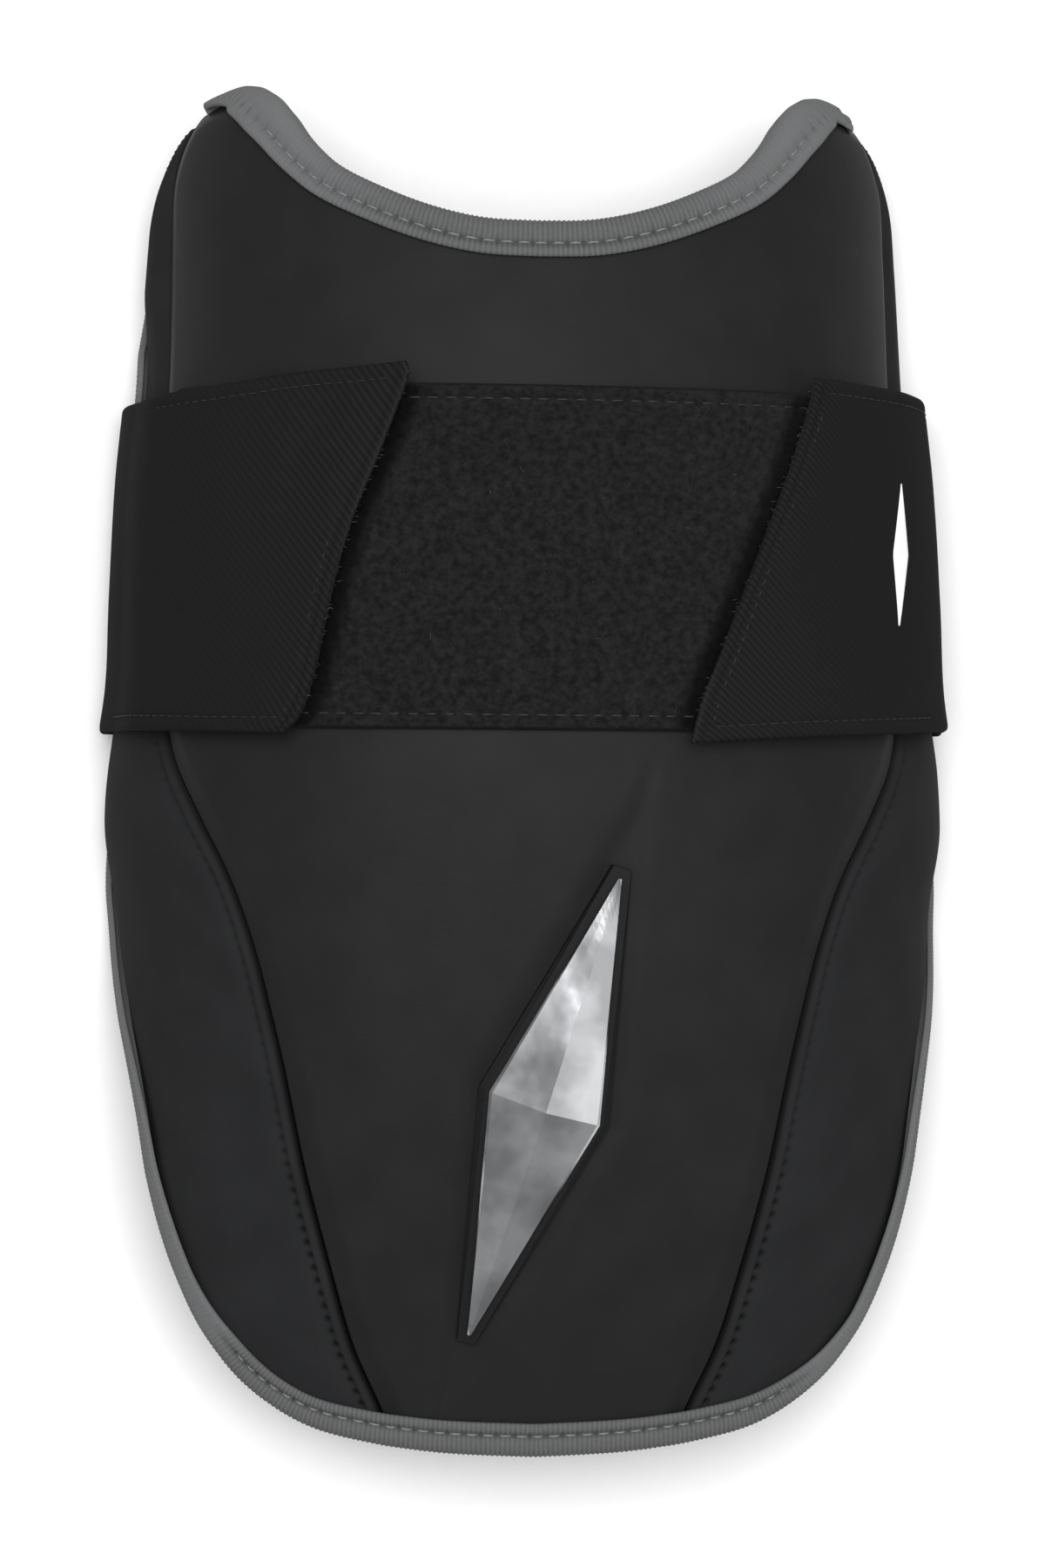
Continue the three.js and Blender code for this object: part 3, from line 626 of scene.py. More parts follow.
# Binding.
# Dark grey ribbed elastic tape, folded over the raw edge of the shell and sewn through with
# one row of grey thread. One length goes over the scoop and both horns, one round the rest.
TAPE_LAP = 5.6
TAPE_STEP = 0.17
RIM_STEPS = 3000
RIM_SOFT = 7
RIB_PITCH = 0.85
RIB_HEIGHT = 0.11
STITCH_AT = 3.2
STITCH_PITCH = 2.9
HORN_PITCH = 2.0
HORN = dict(until=16.0, over=12.0)
SLACK = dict(start=26.0, over=34.0, least=0.15)
TAPER_LEFT = 13.0
TAPER_RIGHT = 1.0
DRAWN_IN = dict(left=0.4, right=0.5, left_from=-108.0, right_from=-116.0, over=20.0)
DRAWN_ABOVE = dict(share=0.72, start=-88.0, over=50.0)
FOLDED_END = dict(start=0.5, over=3.0)
LAPPED_END = dict(length=8.6, hidden=5.0, step=0.5)
ROLLED_AT = -5.3
ROLLED_FLAT = 0.08
PINCH_DEPTH = 0.36
PULLED_IN = 0.93
# A wave texture of scale 1 has this many mm to a wave of 1 mm.
WAVE_A_MM = 2 * math.pi / 20
TAPE_GREY = (0.102, 0.103, 0.105)
TAPE_THREAD_GREY = (0.17, 0.172, 0.175)
# Outer face of the folded tape, from its sewn edge on the front over the rim to the back.
# plain is its height where it isn't sewn through from the front.
TAPE_FACE = table("inset height plain ribbed", [
    (TAPE_LAP, 0.5, 0.5, 0.2), (TAPE_LAP + 0.05, 1.08, 1.08, 0.5), (5.2, 1.32, 1.3, 0.8),
    (4.5, 1.36, 1.36, 0.8), (3.8, 1.14, 1.4, 0.8), (3.2, 0.64, 1.42, 0.3),
    (2.5, 1.2, 1.44, 1.0), (1.1, 1.44, 1.44, 1.0), (-0.2, 1.1, 1.1, 1.0),
    (-0.95, 0.2, 0.2, 1.0), (-1.26, -1.2, -1.2, 1.0), (-1.2, -3.4, -3.4, 1.0),
    (-0.7, -4.9, -4.9, 0.8), (0.5, -5.72, -5.72, 0.6), (2.8, -5.8, -5.8, 0.6),
    (TAPE_LAP, -5.76, -5.76, 0.4),
])
TAPE_INSIDE = table("inset height ribbed", [
    (TAPE_LAP, -EDGE_PAD - TAPE_GAP, 0), (2.0, -EDGE_PAD - TAPE_GAP, 0),
    (-TAPE_GAP, -EDGE_PAD / 2, 0), (2.0, TAPE_GAP, 0), (TAPE_LAP - 0.05, TAPE_GAP, 0),
])


def soften(values, reach):
    """Closed row of values blurred by a bell that reaches so many places: a Fourier product."""
    waves = np.fft.rfftfreq(len(values))
    kept = np.exp(-2 * (np.pi * waves * reach) ** 2)
    return np.fft.irfft(np.fft.rfft(values) * kept, len(values))


def even_rim():
    """The rim's places, evenly spaced once round, the length from the scoop's left end to
    each, the length all round, and the length of the scoop."""
    turn, y = rim_places(RIM_STEPS)
    points = shell(turn, y)
    steps = np.linalg.norm(np.roll(points, -1, 0) - points, axis=-1)
    length = np.concatenate([[0], np.cumsum(steps)])
    count = int(round(length[-1] / TAPE_STEP))
    at = np.arange(count) * length[-1] / count
    even_turn = np.interp(at, length, np.append(turn, turn[0]))
    even_y = np.interp(at, length, np.append(y, y[0]))
    turn, y = soften(even_turn, RIM_SOFT), soften(even_y, RIM_SOFT)
    return turn, y, at, length[-1], length[RIM_STEPS]


rim_turn, rim_y, rim_at, rim_total, scoop_until = even_rim()
rim_by_turn, rim_by_y, rim_normal = shell_frame(rim_turn, rim_y)
rim_line = shell(rim_turn, rim_y)
rim_onward = unit(np.roll(rim_line, -1, 0) - np.roll(rim_line, 1, 0))
rim_inward = unit(np.cross(rim_onward, rim_normal))
rim_turn_rate = (rim_inward * rim_by_turn).sum(-1) / (rim_by_turn**2).sum(-1)
rim_y_rate = (rim_inward * rim_by_y).sum(-1) / (rim_by_y**2).sum(-1)


def at_rim(inset, height, chosen=slice(None)):
    """Point on the shell so far in from the rim, moved outwards by a height."""
    turn = rim_turn[chosen, None] + rim_turn_rate[chosen, None] * inset
    y = rim_y[chosen, None] + rim_y_rate[chosen, None] * inset
    return off_shell(turn, y, height)


on_scoop = rim_at < scoop_until
corner_gap = np.minimum(rim_at, np.abs(scoop_until - rim_at))
horn = on_scoop * (1 - smooth((corner_gap - HORN["until"]) / HORN["over"]))
rim_pitch = mix(STITCH_PITCH, HORN_PITCH, horn)
stitch_phase = np.cumsum(TAPE_STEP / rim_pitch)
hole_near = bump((stitch_phase - np.round(stitch_phase)) * rim_pitch / 0.36)
rib_count = round(rim_total / RIB_PITCH)
rib_wave = np.sin(2 * np.pi * rib_count * rim_at / rim_total)
# 0 to 1: at the horns' outer corners the front lap tapers away, and up the sides it is rolled
# under with the wing's edge.
tucked = np.where(
    on_scoop,
    1 - smooth((rim_at - 1) / TAPER_LEFT) * smooth((scoop_until - rim_at) / TAPER_RIGHT),
    rolled_under(rim_turn, rim_y),
)
# 0 to 1: round the lower corners and up the sides the front lap is narrower and isn't sewn
# through, since the tape is stretched there.
drawn_from = np.where(rim_turn < 0, DRAWN_IN["left_from"], DRAWN_IN["right_from"])
drawn = np.where(on_scoop, 0, smooth((rim_y - drawn_from) / DRAWN_IN["over"]))
by_side = np.where(rim_turn < 0, DRAWN_IN["left"], DRAWN_IN["right"])
further_up = smooth((rim_y - DRAWN_ABOVE["start"]) / DRAWN_ABOVE["over"])
narrower = drawn * mix(by_side, DRAWN_ABOVE["share"], further_up)
# 0 to 1: at the horns' outer corners the tape is flat and wholly behind the padding.
under_lap = smooth((LAPPED_END["hidden"] - scoop_until + rim_at) / 0.8)
folded_back = 1 - smooth((rim_at - FOLDED_END["start"]) / FOLDED_END["over"])
behind = np.where(on_scoop, np.maximum(under_lap, folded_back), near_corner(rim_turn, rim_y))
unsewn = np.maximum(smooth(2 * drawn), horn)
# Ribs are clearest in the middle of the scoop and of the lower end, where the tape is slack.
slack_scoop = mix(SLACK["least"], 1, smooth((corner_gap - SLACK["start"]) / SLACK["over"]))
rib_strength = np.where(on_scoop, slack_scoop, 1 - 0.6 * smooth(2 * drawn))
taut = 0.9 * (1 - rib_strength)
# The last few mm at the right horn are a single layer, where the two lengths of tape overlap.
lapped = smooth((rim_at - scoop_until + LAPPED_END["length"]) / 0.5) * on_scoop


def add_tube(name, points, cloth=None):
    """Mesh from rings of points, walled from ring to ring and capped at both ends."""
    rings, around = points.shape[:2]
    number = np.arange(rings * around).reshape(rings, around)
    this, after = number[:-1], number[1:]
    walls = np.stack([this, np.roll(this, -1, 1), np.roll(after, -1, 1), after], -1)
    return add_mesh(name, points, walls.reshape(-1, 4), number[:1, ::-1], number[-1:], cloth=cloth)


def binding(name, chosen):
    """The folded section carried round a stretch of the rim, with ribs across it and a
    pinched groove where it is sewn. Ribs are a sine along the rim, flatter where it is taut."""
    inset = np.concatenate([TAPE_FACE["inset"], TAPE_INSIDE["inset"]])
    height = np.concatenate([TAPE_FACE["height"], TAPE_INSIDE["height"]])
    plain = np.concatenate([TAPE_FACE["plain"], TAPE_INSIDE["height"]])
    ribbed = np.concatenate([TAPE_FACE["ribbed"], TAPE_INSIDE["ribbed"]])
    out_inset = np.roll(height, 1) - np.roll(height, -1)
    out_height = np.roll(inset, -1) - np.roll(inset, 1)
    size = np.hypot(out_inset, out_height)
    rib = RIB_HEIGHT * (rib_wave * rib_strength)[chosen, None] * ribbed
    on_front = height > 0
    under = tucked[chosen, None] * on_front
    pinched = hole_near * np.where(on_scoop, 1, 1 - unsewn)
    at_stitch = bump((inset - STITCH_AT) / 0.5) * (height > 0.5)
    pinch = at_stitch * pinched[chosen, None] * PINCH_DEPTH * (1 - under)
    thinner = LAPPED_END["step"] * lapped[chosen, None]
    pulled = np.maximum(PULLED_IN * tucked, narrower)[chosen, None] * on_front * (inset > 0)
    insets = inset * (1 - pulled) - out_inset / size * rib + thinner * (inset < 0)
    heights = mix(height, plain, unsewn[chosen, None]) - out_height / size * rib
    sunk = under * np.where(on_scoop, 0.25, 1)[chosen, None]
    heights = heights - pinch - sunk - thinner * (height > 0.6)
    flat = behind[chosen, None]
    heights = mix(heights, ROLLED_AT + (heights - ROLLED_AT) * ROLLED_FLAT, flat)
    insets = mix(insets, np.maximum(insets, 0.5), flat)
    points = at_rim(insets, heights, chosen)
    cloth = np.zeros(points.shape)
    cloth[..., 0] = rim_at[chosen, None]
    cloth[..., 1] = np.cumsum(np.hypot(np.diff(inset, prepend=7), np.diff(height, prepend=0.5)))
    # The third value of cloth paints shade into the sewn groove and its pinched holes, deeper at
    # the horns; where the tape is taut it goes below 0.
    groove = bump((inset - STITCH_AT - 0.2) / 0.45) * (height > 0.5) * (1 - unsewn[chosen, None])
    cloth[..., 2] = pinch * mix(0.9, 2.2, horn[chosen, None]) + 0.5 * groove - taut[chosen, None]
    return add_tube(name, points, cloth)


def ribbed_tape(name, colour):
    """Elastic tape: threads along each rib. The third value of cloth paints shade where it is above
    0, in the groove and its holes, and makes the tape smoother and paler below 0, where it is taut."""
    material, tree, shader = new_finish(name, Roughness=0.8, Specular_IOR_Level=0.05)
    place, split = cloth_inputs(tree)
    fine = node(tree, "Mapping", Scale=(3.2, 0.9, 1.0))
    threads = node(tree, "TexNoise", Scale=1.3, Detail=3.0)
    ribs = node(
        tree, "TexWave", wave_type="BANDS", bands_direction="X", Distortion=0.3,
        Scale=WAVE_A_MM * rib_count / rim_total, Phase_Offset=math.pi / 2,
    )
    slack = node(tree, "MapRange", From_Min=-0.8, From_Max=0.0, To_Min=0.04, To_Max=0.4)
    woven = node(tree, "Mix", data_type="FLOAT")
    tone = ramp_between(tree, 0.15, 0.85, shade(colour, 0.76), shade(colour, 1.18))
    pale = node(tree, "MapRange", From_Min=-0.8, From_Max=0.0, To_Min=0.45, To_Max=0.0)
    paler = blend_to(tree, shade(colour, 1.7))
    # Painted shade in the sewn groove and its holes.
    dark = blend_to(tree, (0.25,) * 3, blend_type="MULTIPLY")
    relief = node(tree, "Bump", Strength=0.5, Distance=0.00015)
    join(
        tree,
        (place, "Vector", fine, "Vector"),
        (fine, "Vector", threads, "Vector"),
        (place, "Vector", ribs, "Vector"),
        (split, "Z", slack, "Value"),
        (slack, 0, woven, 0),
        (threads, 0, woven, 2),
        (ribs, "Fac", woven, 3),
        (woven, 0, tone, 0),
        (split, "Z", pale, "Value"),
        (pale, 0, paler, 0),
        (tone, 0, paler, 6),
        (split, "Z", dark, 0),
        (paler, 2, dark, 6),
        (dark, 2, shader, "Base Color"),
        (threads, 0, relief, "Height"),
        (relief, 0, shader, "Normal"),
    )
    return material


tape_finish = ribbed_tape("binding_tape", TAPE_GREY)
tape_thread = thread_finish("binding_thread", TAPE_THREAD_GREY, 0.5)
over_scoop = np.flatnonzero((rim_at > 0.05) & (rim_at < scoop_until - 0.05))
round_rest = np.flatnonzero((rim_at > scoop_until + 0.05) & (rim_at < rim_total - 0.05))
sewn_line = at_rim(np.array([STITCH_AT]), 0.8)[:, 0]
for stretch, chosen in (("scoop", over_scoop), ("rim", round_rest)):
    tape = binding(stretch + "_tape", chosen)
    tape.data.materials.append(tape_finish)
    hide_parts(stretch + "_binding")
    inside = stitch_phase[chosen]
    holes = np.interp(np.arange(np.ceil(inside[0]), inside[-1]), inside, rim_at[chosen])
    holes = holes[np.interp(holes, rim_at, np.maximum(tucked, unsewn)) < 0.3]
    name = stretch + "_tape_stitches"
    thread = add_thread(name, sewn_line, rim_normal, rim_at, holes, rise=0.06, sink=0.9, radius=0.2)
    thread.data.materials.append(tape_thread)

# Loop patch.
# A wide band of fuzzy loop pile, sewn across the front a little inside its two long edges.
# The strap's hooks catch in it, which has roughed up the pile.
PATCH_WIDTH = 59.5
PATCH_THICKNESS = 1.5
PATCH_LEFT = -0.64
PATCH_RIGHT = 0.72
PATCH_SEWN = dict(away=2.6, pitch=3.2, depth=0.3, reach=0.45)
PATCH_ROUND = 0.7
PILE = dict(coarse=1.1, coarse_height=0.13, fine=0.5, fine_height=0.06)
PILE_BLACK = (0.0115, 0.0115, 0.0123)
CHARCOAL_THREAD = (0.017, 0.017, 0.018)
PATCH_LOW = SEAM_GAP
PATCH_HIGH = SEAM_GAP + PATCH_THICKNESS
# How far the painted shadow beside the strap's ends reaches, in mm.
PAINTED_SHADOW_REACH = 2.4
MM_A_TURN = 105.0
# Ends of the strap on the front, from its lower edge (share 0) to its upper edge (share 1).
LEFT_END = table("share turn", [
    (0.0, -0.362), (0.05, -0.342), (0.15, -0.327), (0.3, -0.311), (0.47, -0.292), (0.61, -0.27),
    (0.75, -0.24), (0.88, -0.214), (0.965, -0.199), (1.0, -0.204),
])
RIGHT_END = table("share turn", [
    (0.0, 0.208), (0.05, 0.215), (0.13, 0.229), (0.22, 0.25), (0.41, 0.291), (0.58, 0.33),
    (0.7, 0.358), (0.84, 0.39), (0.94, 0.411), (1.0, 0.42),
])


def patch_grid(rows, columns):
    v, u = unit_grid(rows, columns)
    crowded = mix(v, (1 - np.cos(np.pi * v)) / 2, 0.45)
    return mix(PATCH_LEFT, PATCH_RIGHT, u), STRAP_AT + PATCH_WIDTH * (crowded - 0.5)


def loop_patch():
    """Pile height: noise at 1.1 and 0.5 mm, lower in the sewn lines and rounded at the edges."""
    turn, y = patch_grid(140, 320)
    flat = shell(turn, y)
    cloth = cloth_places(flat)
    x = cloth[..., 0]
    edge = PATCH_WIDTH / 2 - np.abs(y - STRAP_AT)
    pile = PILE["coarse_height"] * lattice_noise(x / PILE["coarse"], y / PILE["coarse"], 3)
    pile = pile + PILE["fine_height"] * lattice_noise(x / PILE["fine"], y / PILE["fine"], 4)
    sewn = PATCH_SEWN["depth"] * bump((edge - PATCH_SEWN["away"]) / PATCH_SEWN["reach"])
    rounded = PATCH_ROUND * (1 - smooth(edge / PATCH_ROUND))
    top = off_shell(turn, y, PATCH_HIGH - 0.05 + pile * smooth(edge / 0.6) - sewn - rounded)
    share = (y - STRAP_AT) / STRAP_WIDTH + 0.5
    from_left = (turn - look_up(LEFT_END, "share turn", share)) * MM_A_TURN
    from_right = (look_up(RIGHT_END, "share turn", share) - turn) * MM_A_TURN
    from_strap = np.minimum(from_left, from_right)
    # The third value of cloth paints a dark line along the two edges, both the heat-sealed edge and
    # the shade beside it, and a painted shadow beside the strap's ends.
    cloth[..., 2] = np.minimum(edge, 0.2 + 0.5 * np.maximum(from_strap, 0) / PAINTED_SHADOW_REACH)
    return add_body("loop_pile", top, off_shell(turn, y, PATCH_LOW), cloth, 4)


def loop_pile_finish():
    """Felted pile: two blacks mottled at 1.2 mm and a fibre grain, darker where cloth's third value
    is low: along the two edges, cut hot, with painted shade in the gap beside them, and beside the
    strap's ends, as a painted shadow."""
    material, tree, shader = new_finish(
        "loop_pile", Roughness=0.95, Specular_IOR_Level=0.03, Sheen_Weight=0.03, Sheen_Roughness=0.6
    )
    place, split = cloth_inputs(tree)
    tufts = node(tree, "TexNoise", Scale=0.75, Detail=5.0, Roughness=0.65)
    fibres = node(tree, "TexNoise", Scale=3.0, Detail=4.0, Roughness=0.7, Distortion=1.5)
    tone = ramp_between(tree, 0.36, 0.66, shade(PILE_BLACK, 0.55), shade(PILE_BLACK, 1.55))
    # Painted shade: a dark line along the cut edges, and a painted shadow beside the strap's ends.
    cut = node(tree, "MapRange", From_Min=0.25, From_Max=0.7, To_Min=1.0, To_Max=0.0)
    dark = blend_to(tree, (0.22,) * 3, blend_type="MULTIPLY")
    relief = node(tree, "Bump", Strength=0.7, Distance=0.0004)
    join(
        tree,
        (place, "Vector", tufts, "Vector"),
        (place, "Vector", fibres, "Vector"),
        (tufts, 0, tone, 0),
        (split, "Z", cut, "Value"),
        (cut, 0, dark, 0),
        (tone, 0, dark, 6),
        (dark, 2, shader, "Base Color"),
        (fibres, 0, relief, "Height"),
        (relief, 0, shader, "Normal"),
    )
    return material


patch = loop_patch()
patch.data.materials.append(loop_pile_finish())
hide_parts("loop_patch")
charcoal_thread = thread_finish("charcoal_thread", CHARCOAL_THREAD, 0.6)
for edge_name, edge_side in (("lower", -1), ("upper", 1)):
    turn = np.linspace(PATCH_LEFT + 0.02, PATCH_RIGHT - 0.02, 1200)
    y = np.full_like(turn, STRAP_AT + edge_side * (PATCH_WIDTH / 2 - PATCH_SEWN["away"]))
    sewn = off_shell(turn, y, PATCH_HIGH - 0.42)
    length = length_along(sewn)
    holes = np.arange(0.5, length[-1], PATCH_SEWN["pitch"])
    normals = shell_frame(turn, y)[2]
    name = "patch_" + edge_name + "_stitches"
    thread = add_thread(name, sewn, normals, length, holes, rise=0.12, sink=0.4, radius=0.17)
    thread.data.materials.append(charcoal_thread)

# Strap.
# One band of black twill elastic that goes right round the back. Both ends are cut on the
# slant, turned and stitched, and are folded onto the loop patch. The left corner stands up.
HOOK_THICKNESS = 1.2
STRAP_EASE = 0.15
STRAP_LEAVES = 0.92
HOOK_HEIGHT = PATCH_HIGH + SEAM_GAP
STRAP_ON_PATCH = HOOK_HEIGHT + HOOK_THICKNESS + SEAM_GAP
STRAP_ON_WING = TAPE_GAP + TAPE_THICKNESS + SEAM_GAP
STRAP_LIFT = dict(left_corner=1.6, right_corner=0.5, left_end=1.6, right_end=0.9)
STRAP_SET_BACK = 1.0
CORNER_STEPS = 12
# Relief of the band, in mm: where it is counted from an end or an edge, how high or deep it
# is and how far it reaches.
EDGE_ROUND = dict(depth=0.85, reach=1.3)
EDGE_GROOVE = dict(depth=0.3, reach=0.4, until=52.0, fade=8.0)
END_GROOVE = dict(away=2.3, depth=0.42, reach=0.5)
HEM = dict(away=1.1, height=0.14, reach=0.7)
ROUGH_END = dict(height=0.09, grain=0.8, until=3.4, fade=1.5)
WAVER = dict(height=0.18, along=14.0, until=60.0, fade=20.0)
TABS = (("left", LEFT_END, -1), ("right", RIGHT_END, 1))
TAB_SEWN = dict(away=2.6, pitch=2.1, until=46.0)
TWILL_BLACK = (0.0112, 0.0112, 0.0119)
TWILL_PITCH = 1.05
# Long edges of the strap, which wander a little along it.
STRAP_EDGES = table("turn lower upper", [
    (-1.0, 6.2, 64.6), (-0.676, 6.2, 64.9), (-0.524, 6.2, 65.9), (-0.444, 6.2, 66.8),
    (-0.374, 6.2, 67.8), (-0.241, 6.2, 68.7), (-0.19, 6.2, 69.2), (0.2, 5.2, 68.5),
    (0.232, 5.3, 68.6), (0.397, 6.3, 68.6), (0.65, 7.0, 68.0), (0.776, 7.2, 67.2),
    (1.0, 7.2, 66.9),
])


def strap_y(turn, share):
    lower = look_up(STRAP_EDGES, "turn lower", turn)
    return mix(lower, look_up(STRAP_EDGES, "turn upper", turn), share)


def strap_height(turn):
    """Height of the strap's inner face: on the hook tape, then down onto the wing."""
    patch_end = np.where(turn < 0, -PATCH_LEFT, PATCH_RIGHT)
    return mix(STRAP_ON_PATCH, STRAP_ON_WING, smooth((np.abs(turn) - patch_end) / STRAP_EASE))


def end_turn(end, share, set_back=0):
    """Turn of a slanted end of the strap, or so many mm in from it."""
    side = -1 if end is LEFT_END else 1
    return look_up(end, "share turn", share) + side * set_back / MM_A_TURN


def over_strap(end, side, turn, share, thickness):
    """Point over the shell, so far above the strap's inner face. The end stands off the patch
    along its slant, and its upper corner more."""
    name = "left" if side < 0 else "right"
    from_end = np.abs(turn - end_turn(end, share)) * MM_A_TURN
    corner = smooth(1 - from_end / 22) * smooth((share - 0.62) / 0.38)
    lift = STRAP_LIFT[name + "_corner"] * corner
    lift = lift + STRAP_LIFT[name + "_end"] * smooth(1 - from_end / 13)
    return off_shell(turn, strap_y(turn, share), strap_height(turn) + lift + thickness)


def strap_side(end, side, share, thickness, steps, set_back):
    """One side of the strap: over the shell from its end, then round a corner onto the floor."""
    first = end_turn(end, share, set_back)
    u = np.linspace(0, 1, steps)[None]
    turn = mix(first[:, None], side * STRAP_LEAVES, u)
    shares = np.broadcast_to(share[:, None], turn.shape)
    over = over_strap(end, side, turn, shares, thickness[:, :steps])
    low_y = strap_y(np.full_like(share, side), share)
    leaving = off_shell(np.full_like(low_y, side * STRAP_LEAVES), low_y, STRAP_ON_WING)
    centre_x = side * leaving[:, 0] - STRAP_CORNER
    angle = np.linspace(0, np.pi / 2, CORNER_STEPS)[None]
    radius = STRAP_CORNER + thickness[:, steps:steps + CORNER_STEPS]
    x = side * (centre_x[:, None] + radius * np.cos(angle))
    z = STRAP_THICKNESS + STRAP_CORNER - radius * np.sin(angle)
    yy = np.broadcast_to(low_y[:, None], x.shape)
    lean = HORN_LEAN * x * smooth(yy / HALF_LENGTH + 0.5)
    return np.concatenate([over, np.stack([x, yy - lean, z], -1)], 1)


def strap_rows(share, thickness, steps, under, set_back=0):
    """Whole rows of the strap: left side, back run, right side. thickness is a grid, and
    set_back is how far in both ends begin."""
    side_count = steps + CORNER_STEPS
    left = strap_side(LEFT_END, -1, share, thickness[:, :side_count], steps, set_back)
    from_right = thickness[:, ::-1][:, :side_count]
    right = strap_side(RIGHT_END, 1, share, from_right, steps, set_back)[:, ::-1]
    t = np.linspace(0, 1, under + 2)[1:-1][None, :, None]
    back = mix(left[:, -1:], right[:, :1], t)
    back[..., 2] = STRAP_THICKNESS - thickness[:, side_count:-side_count]
    return np.concatenate([left, back, right], 1)


def strap():
    """Rows run across the strap, crowded at its two edges; columns run along it. The edges are
    rounded, a stitched groove runs inside each edge on the front and inside both slanted ends."""
    rows, steps, under = 96, 149, 39
    v = np.linspace(0, 1, rows + 1)
    share = mix(v, (1 - np.cos(np.pi * v)) / 2, 0.6)
    count = 2 * (steps + CORNER_STEPS) + under
    flat = np.full((rows + 1, count), STRAP_THICKNESS)
    bare = strap_rows(share, flat, steps, under)
    lengths = np.cumsum(np.linalg.norm(np.diff(bare, axis=1), axis=-1), 1)
    run = np.concatenate([np.zeros((rows + 1, 1)), lengths], 1)
    middle = steps + CORNER_STEPS + under // 2
    run -= run[:, middle, None]
    from_left = run - run[:, :1]
    from_right = run[:, -1:] - run
    end = np.minimum(from_left, from_right)
    edge = STRAP_WIDTH * np.minimum(share, 1 - share)[:, None]
    front = 1 - smooth((end - EDGE_GROOVE["until"]) / EDGE_GROOVE["fade"])
    near = np.clip(np.minimum(edge, end) / EDGE_ROUND["reach"], 0, 1)
    rounding = EDGE_ROUND["depth"] * (1 - np.sqrt(1 - (1 - near) ** 2))
    at_edge = bump((edge - TAB_SEWN["away"]) / EDGE_GROOVE["reach"])
    at_end = bump((end - END_GROOVE["away"]) / END_GROOVE["reach"])
    sewn = EDGE_GROOVE["depth"] * front * at_edge + END_GROOVE["depth"] * at_end
    hem = HEM["height"] * bump((end - HEM["away"]) / HEM["reach"])
    rough = ROUGH_END["height"] * lattice_noise(run / ROUGH_END["grain"], share[:, None] * 80, 6)
    rough = rough * smooth(1 - (end - ROUGH_END["until"]) / ROUGH_END["fade"])
    waver = WAVER["height"] * lattice_noise(run / WAVER["along"], share[:, None] * 4, 8)
    waver = waver * (1 - smooth((end - WAVER["until"]) / WAVER["fade"]))
    outer = STRAP_THICKNESS - rounding - sewn + hem + rough + waver
    inner = rounding * 0.9
    taut_left = 1 - smooth((share - 0.2) / 0.5)[:, None]
    taut_right = smooth((share - 0.12) / 0.4)[:, None]
    taut = np.where(from_left < from_right, taut_left, taut_right)
    across = np.broadcast_to(share[:, None] * STRAP_WIDTH, run.shape)
    cloth = np.stack([run, across, end * (1 + 2 * taut)], -1)
    top = strap_rows(share, outer, steps, under)
    low = strap_rows(share, inner, steps, under, STRAP_SET_BACK)
    made = add_body("twill_strap", top[:, ::-1], low[:, ::-1], cloth[:, ::-1], 4)
    return made, (run[:, -1] - run[:, 0]).mean()


def twill_finish():
    """Twill: ribs at 45 degrees to the strap, broken by finer cross threads. They stand out
    near both cut ends, where the band is slack, and fade where it is stretched. A paler rubbed
    line runs along the cut ends. cloth is mm along, mm across, and mm from the end, counted
    up to three times where the band is taut."""
    material, tree, shader = new_finish("twill_elastic", Roughness=0.85, Specular_IOR_Level=0.03)
    place, split = cloth_inputs(tree)
    turned = node(tree, "Mapping", Rotation=(0, 0, math.radians(-45)))
    ribs = node(
        tree, "TexWave", wave_type="BANDS", bands_direction="Y", Distortion=0.5,
        Scale=WAVE_A_MM / TWILL_PITCH, Detail=1.0,
    )
    threads = node(tree, "TexNoise", Scale=3.0, Detail=2.0)
    slack = node(tree, "MapRange", From_Min=4.0, From_Max=34.0, To_Min=0.25, To_Max=0.78)
    both = node(tree, "Mix", data_type="FLOAT")
    tone = ramp_between(tree, 0.1, 0.9, shade(TWILL_BLACK, 0.74), shade(TWILL_BLACK, 1.26))
    worn = node(tree, "MapRange", From_Min=0.1, From_Max=0.8, To_Min=0.7, To_Max=0.0)
    rubbed = blend_to(tree, shade(TWILL_BLACK, 3.2))
    relief = node(tree, "Bump", Strength=0.55, Distance=0.00024)
    join(
        tree,
        (place, "Vector", turned, "Vector"),
        (turned, "Vector", ribs, "Vector"),
        (place, "Vector", threads, "Vector"),
        (split, "Z", slack, "Value"),
        (slack, 0, both, 0),
        (ribs, "Fac", both, 2),
        (threads, 0, both, 3),
        (both, 0, relief, "Height"),
        (both, 0, tone, 0),
        (split, "Z", worn, "Value"),
        (worn, 0, rubbed, 0),
        (tone, 0, rubbed, 6),
        (rubbed, 2, shader, "Base Color"),
        (relief, 0, shader, "Normal"),
    )
    return material


def sewn_tab(side_name, end, side):
    """Lockstitches inside a tab's two long edges and its slanted end."""
    away = TAB_SEWN["away"] / STRAP_WIDTH
    reach = side * TAB_SEWN["until"] / MM_A_TURN
    count = 900
    t = np.linspace(0, 1, count)
    for line_name, share in (("lower", np.full(count, away)), ("upper", np.full(count, 1 - away))):
        first = end_turn(end, share, TAB_SEWN["away"])
        yield side_name + "_tab_" + line_name + "_stitches", first + reach * t, share
    share = mix(away, 1 - away, t)
    yield side_name + "_tab_end_stitches", end_turn(end, share, TAB_SEWN["away"]), share


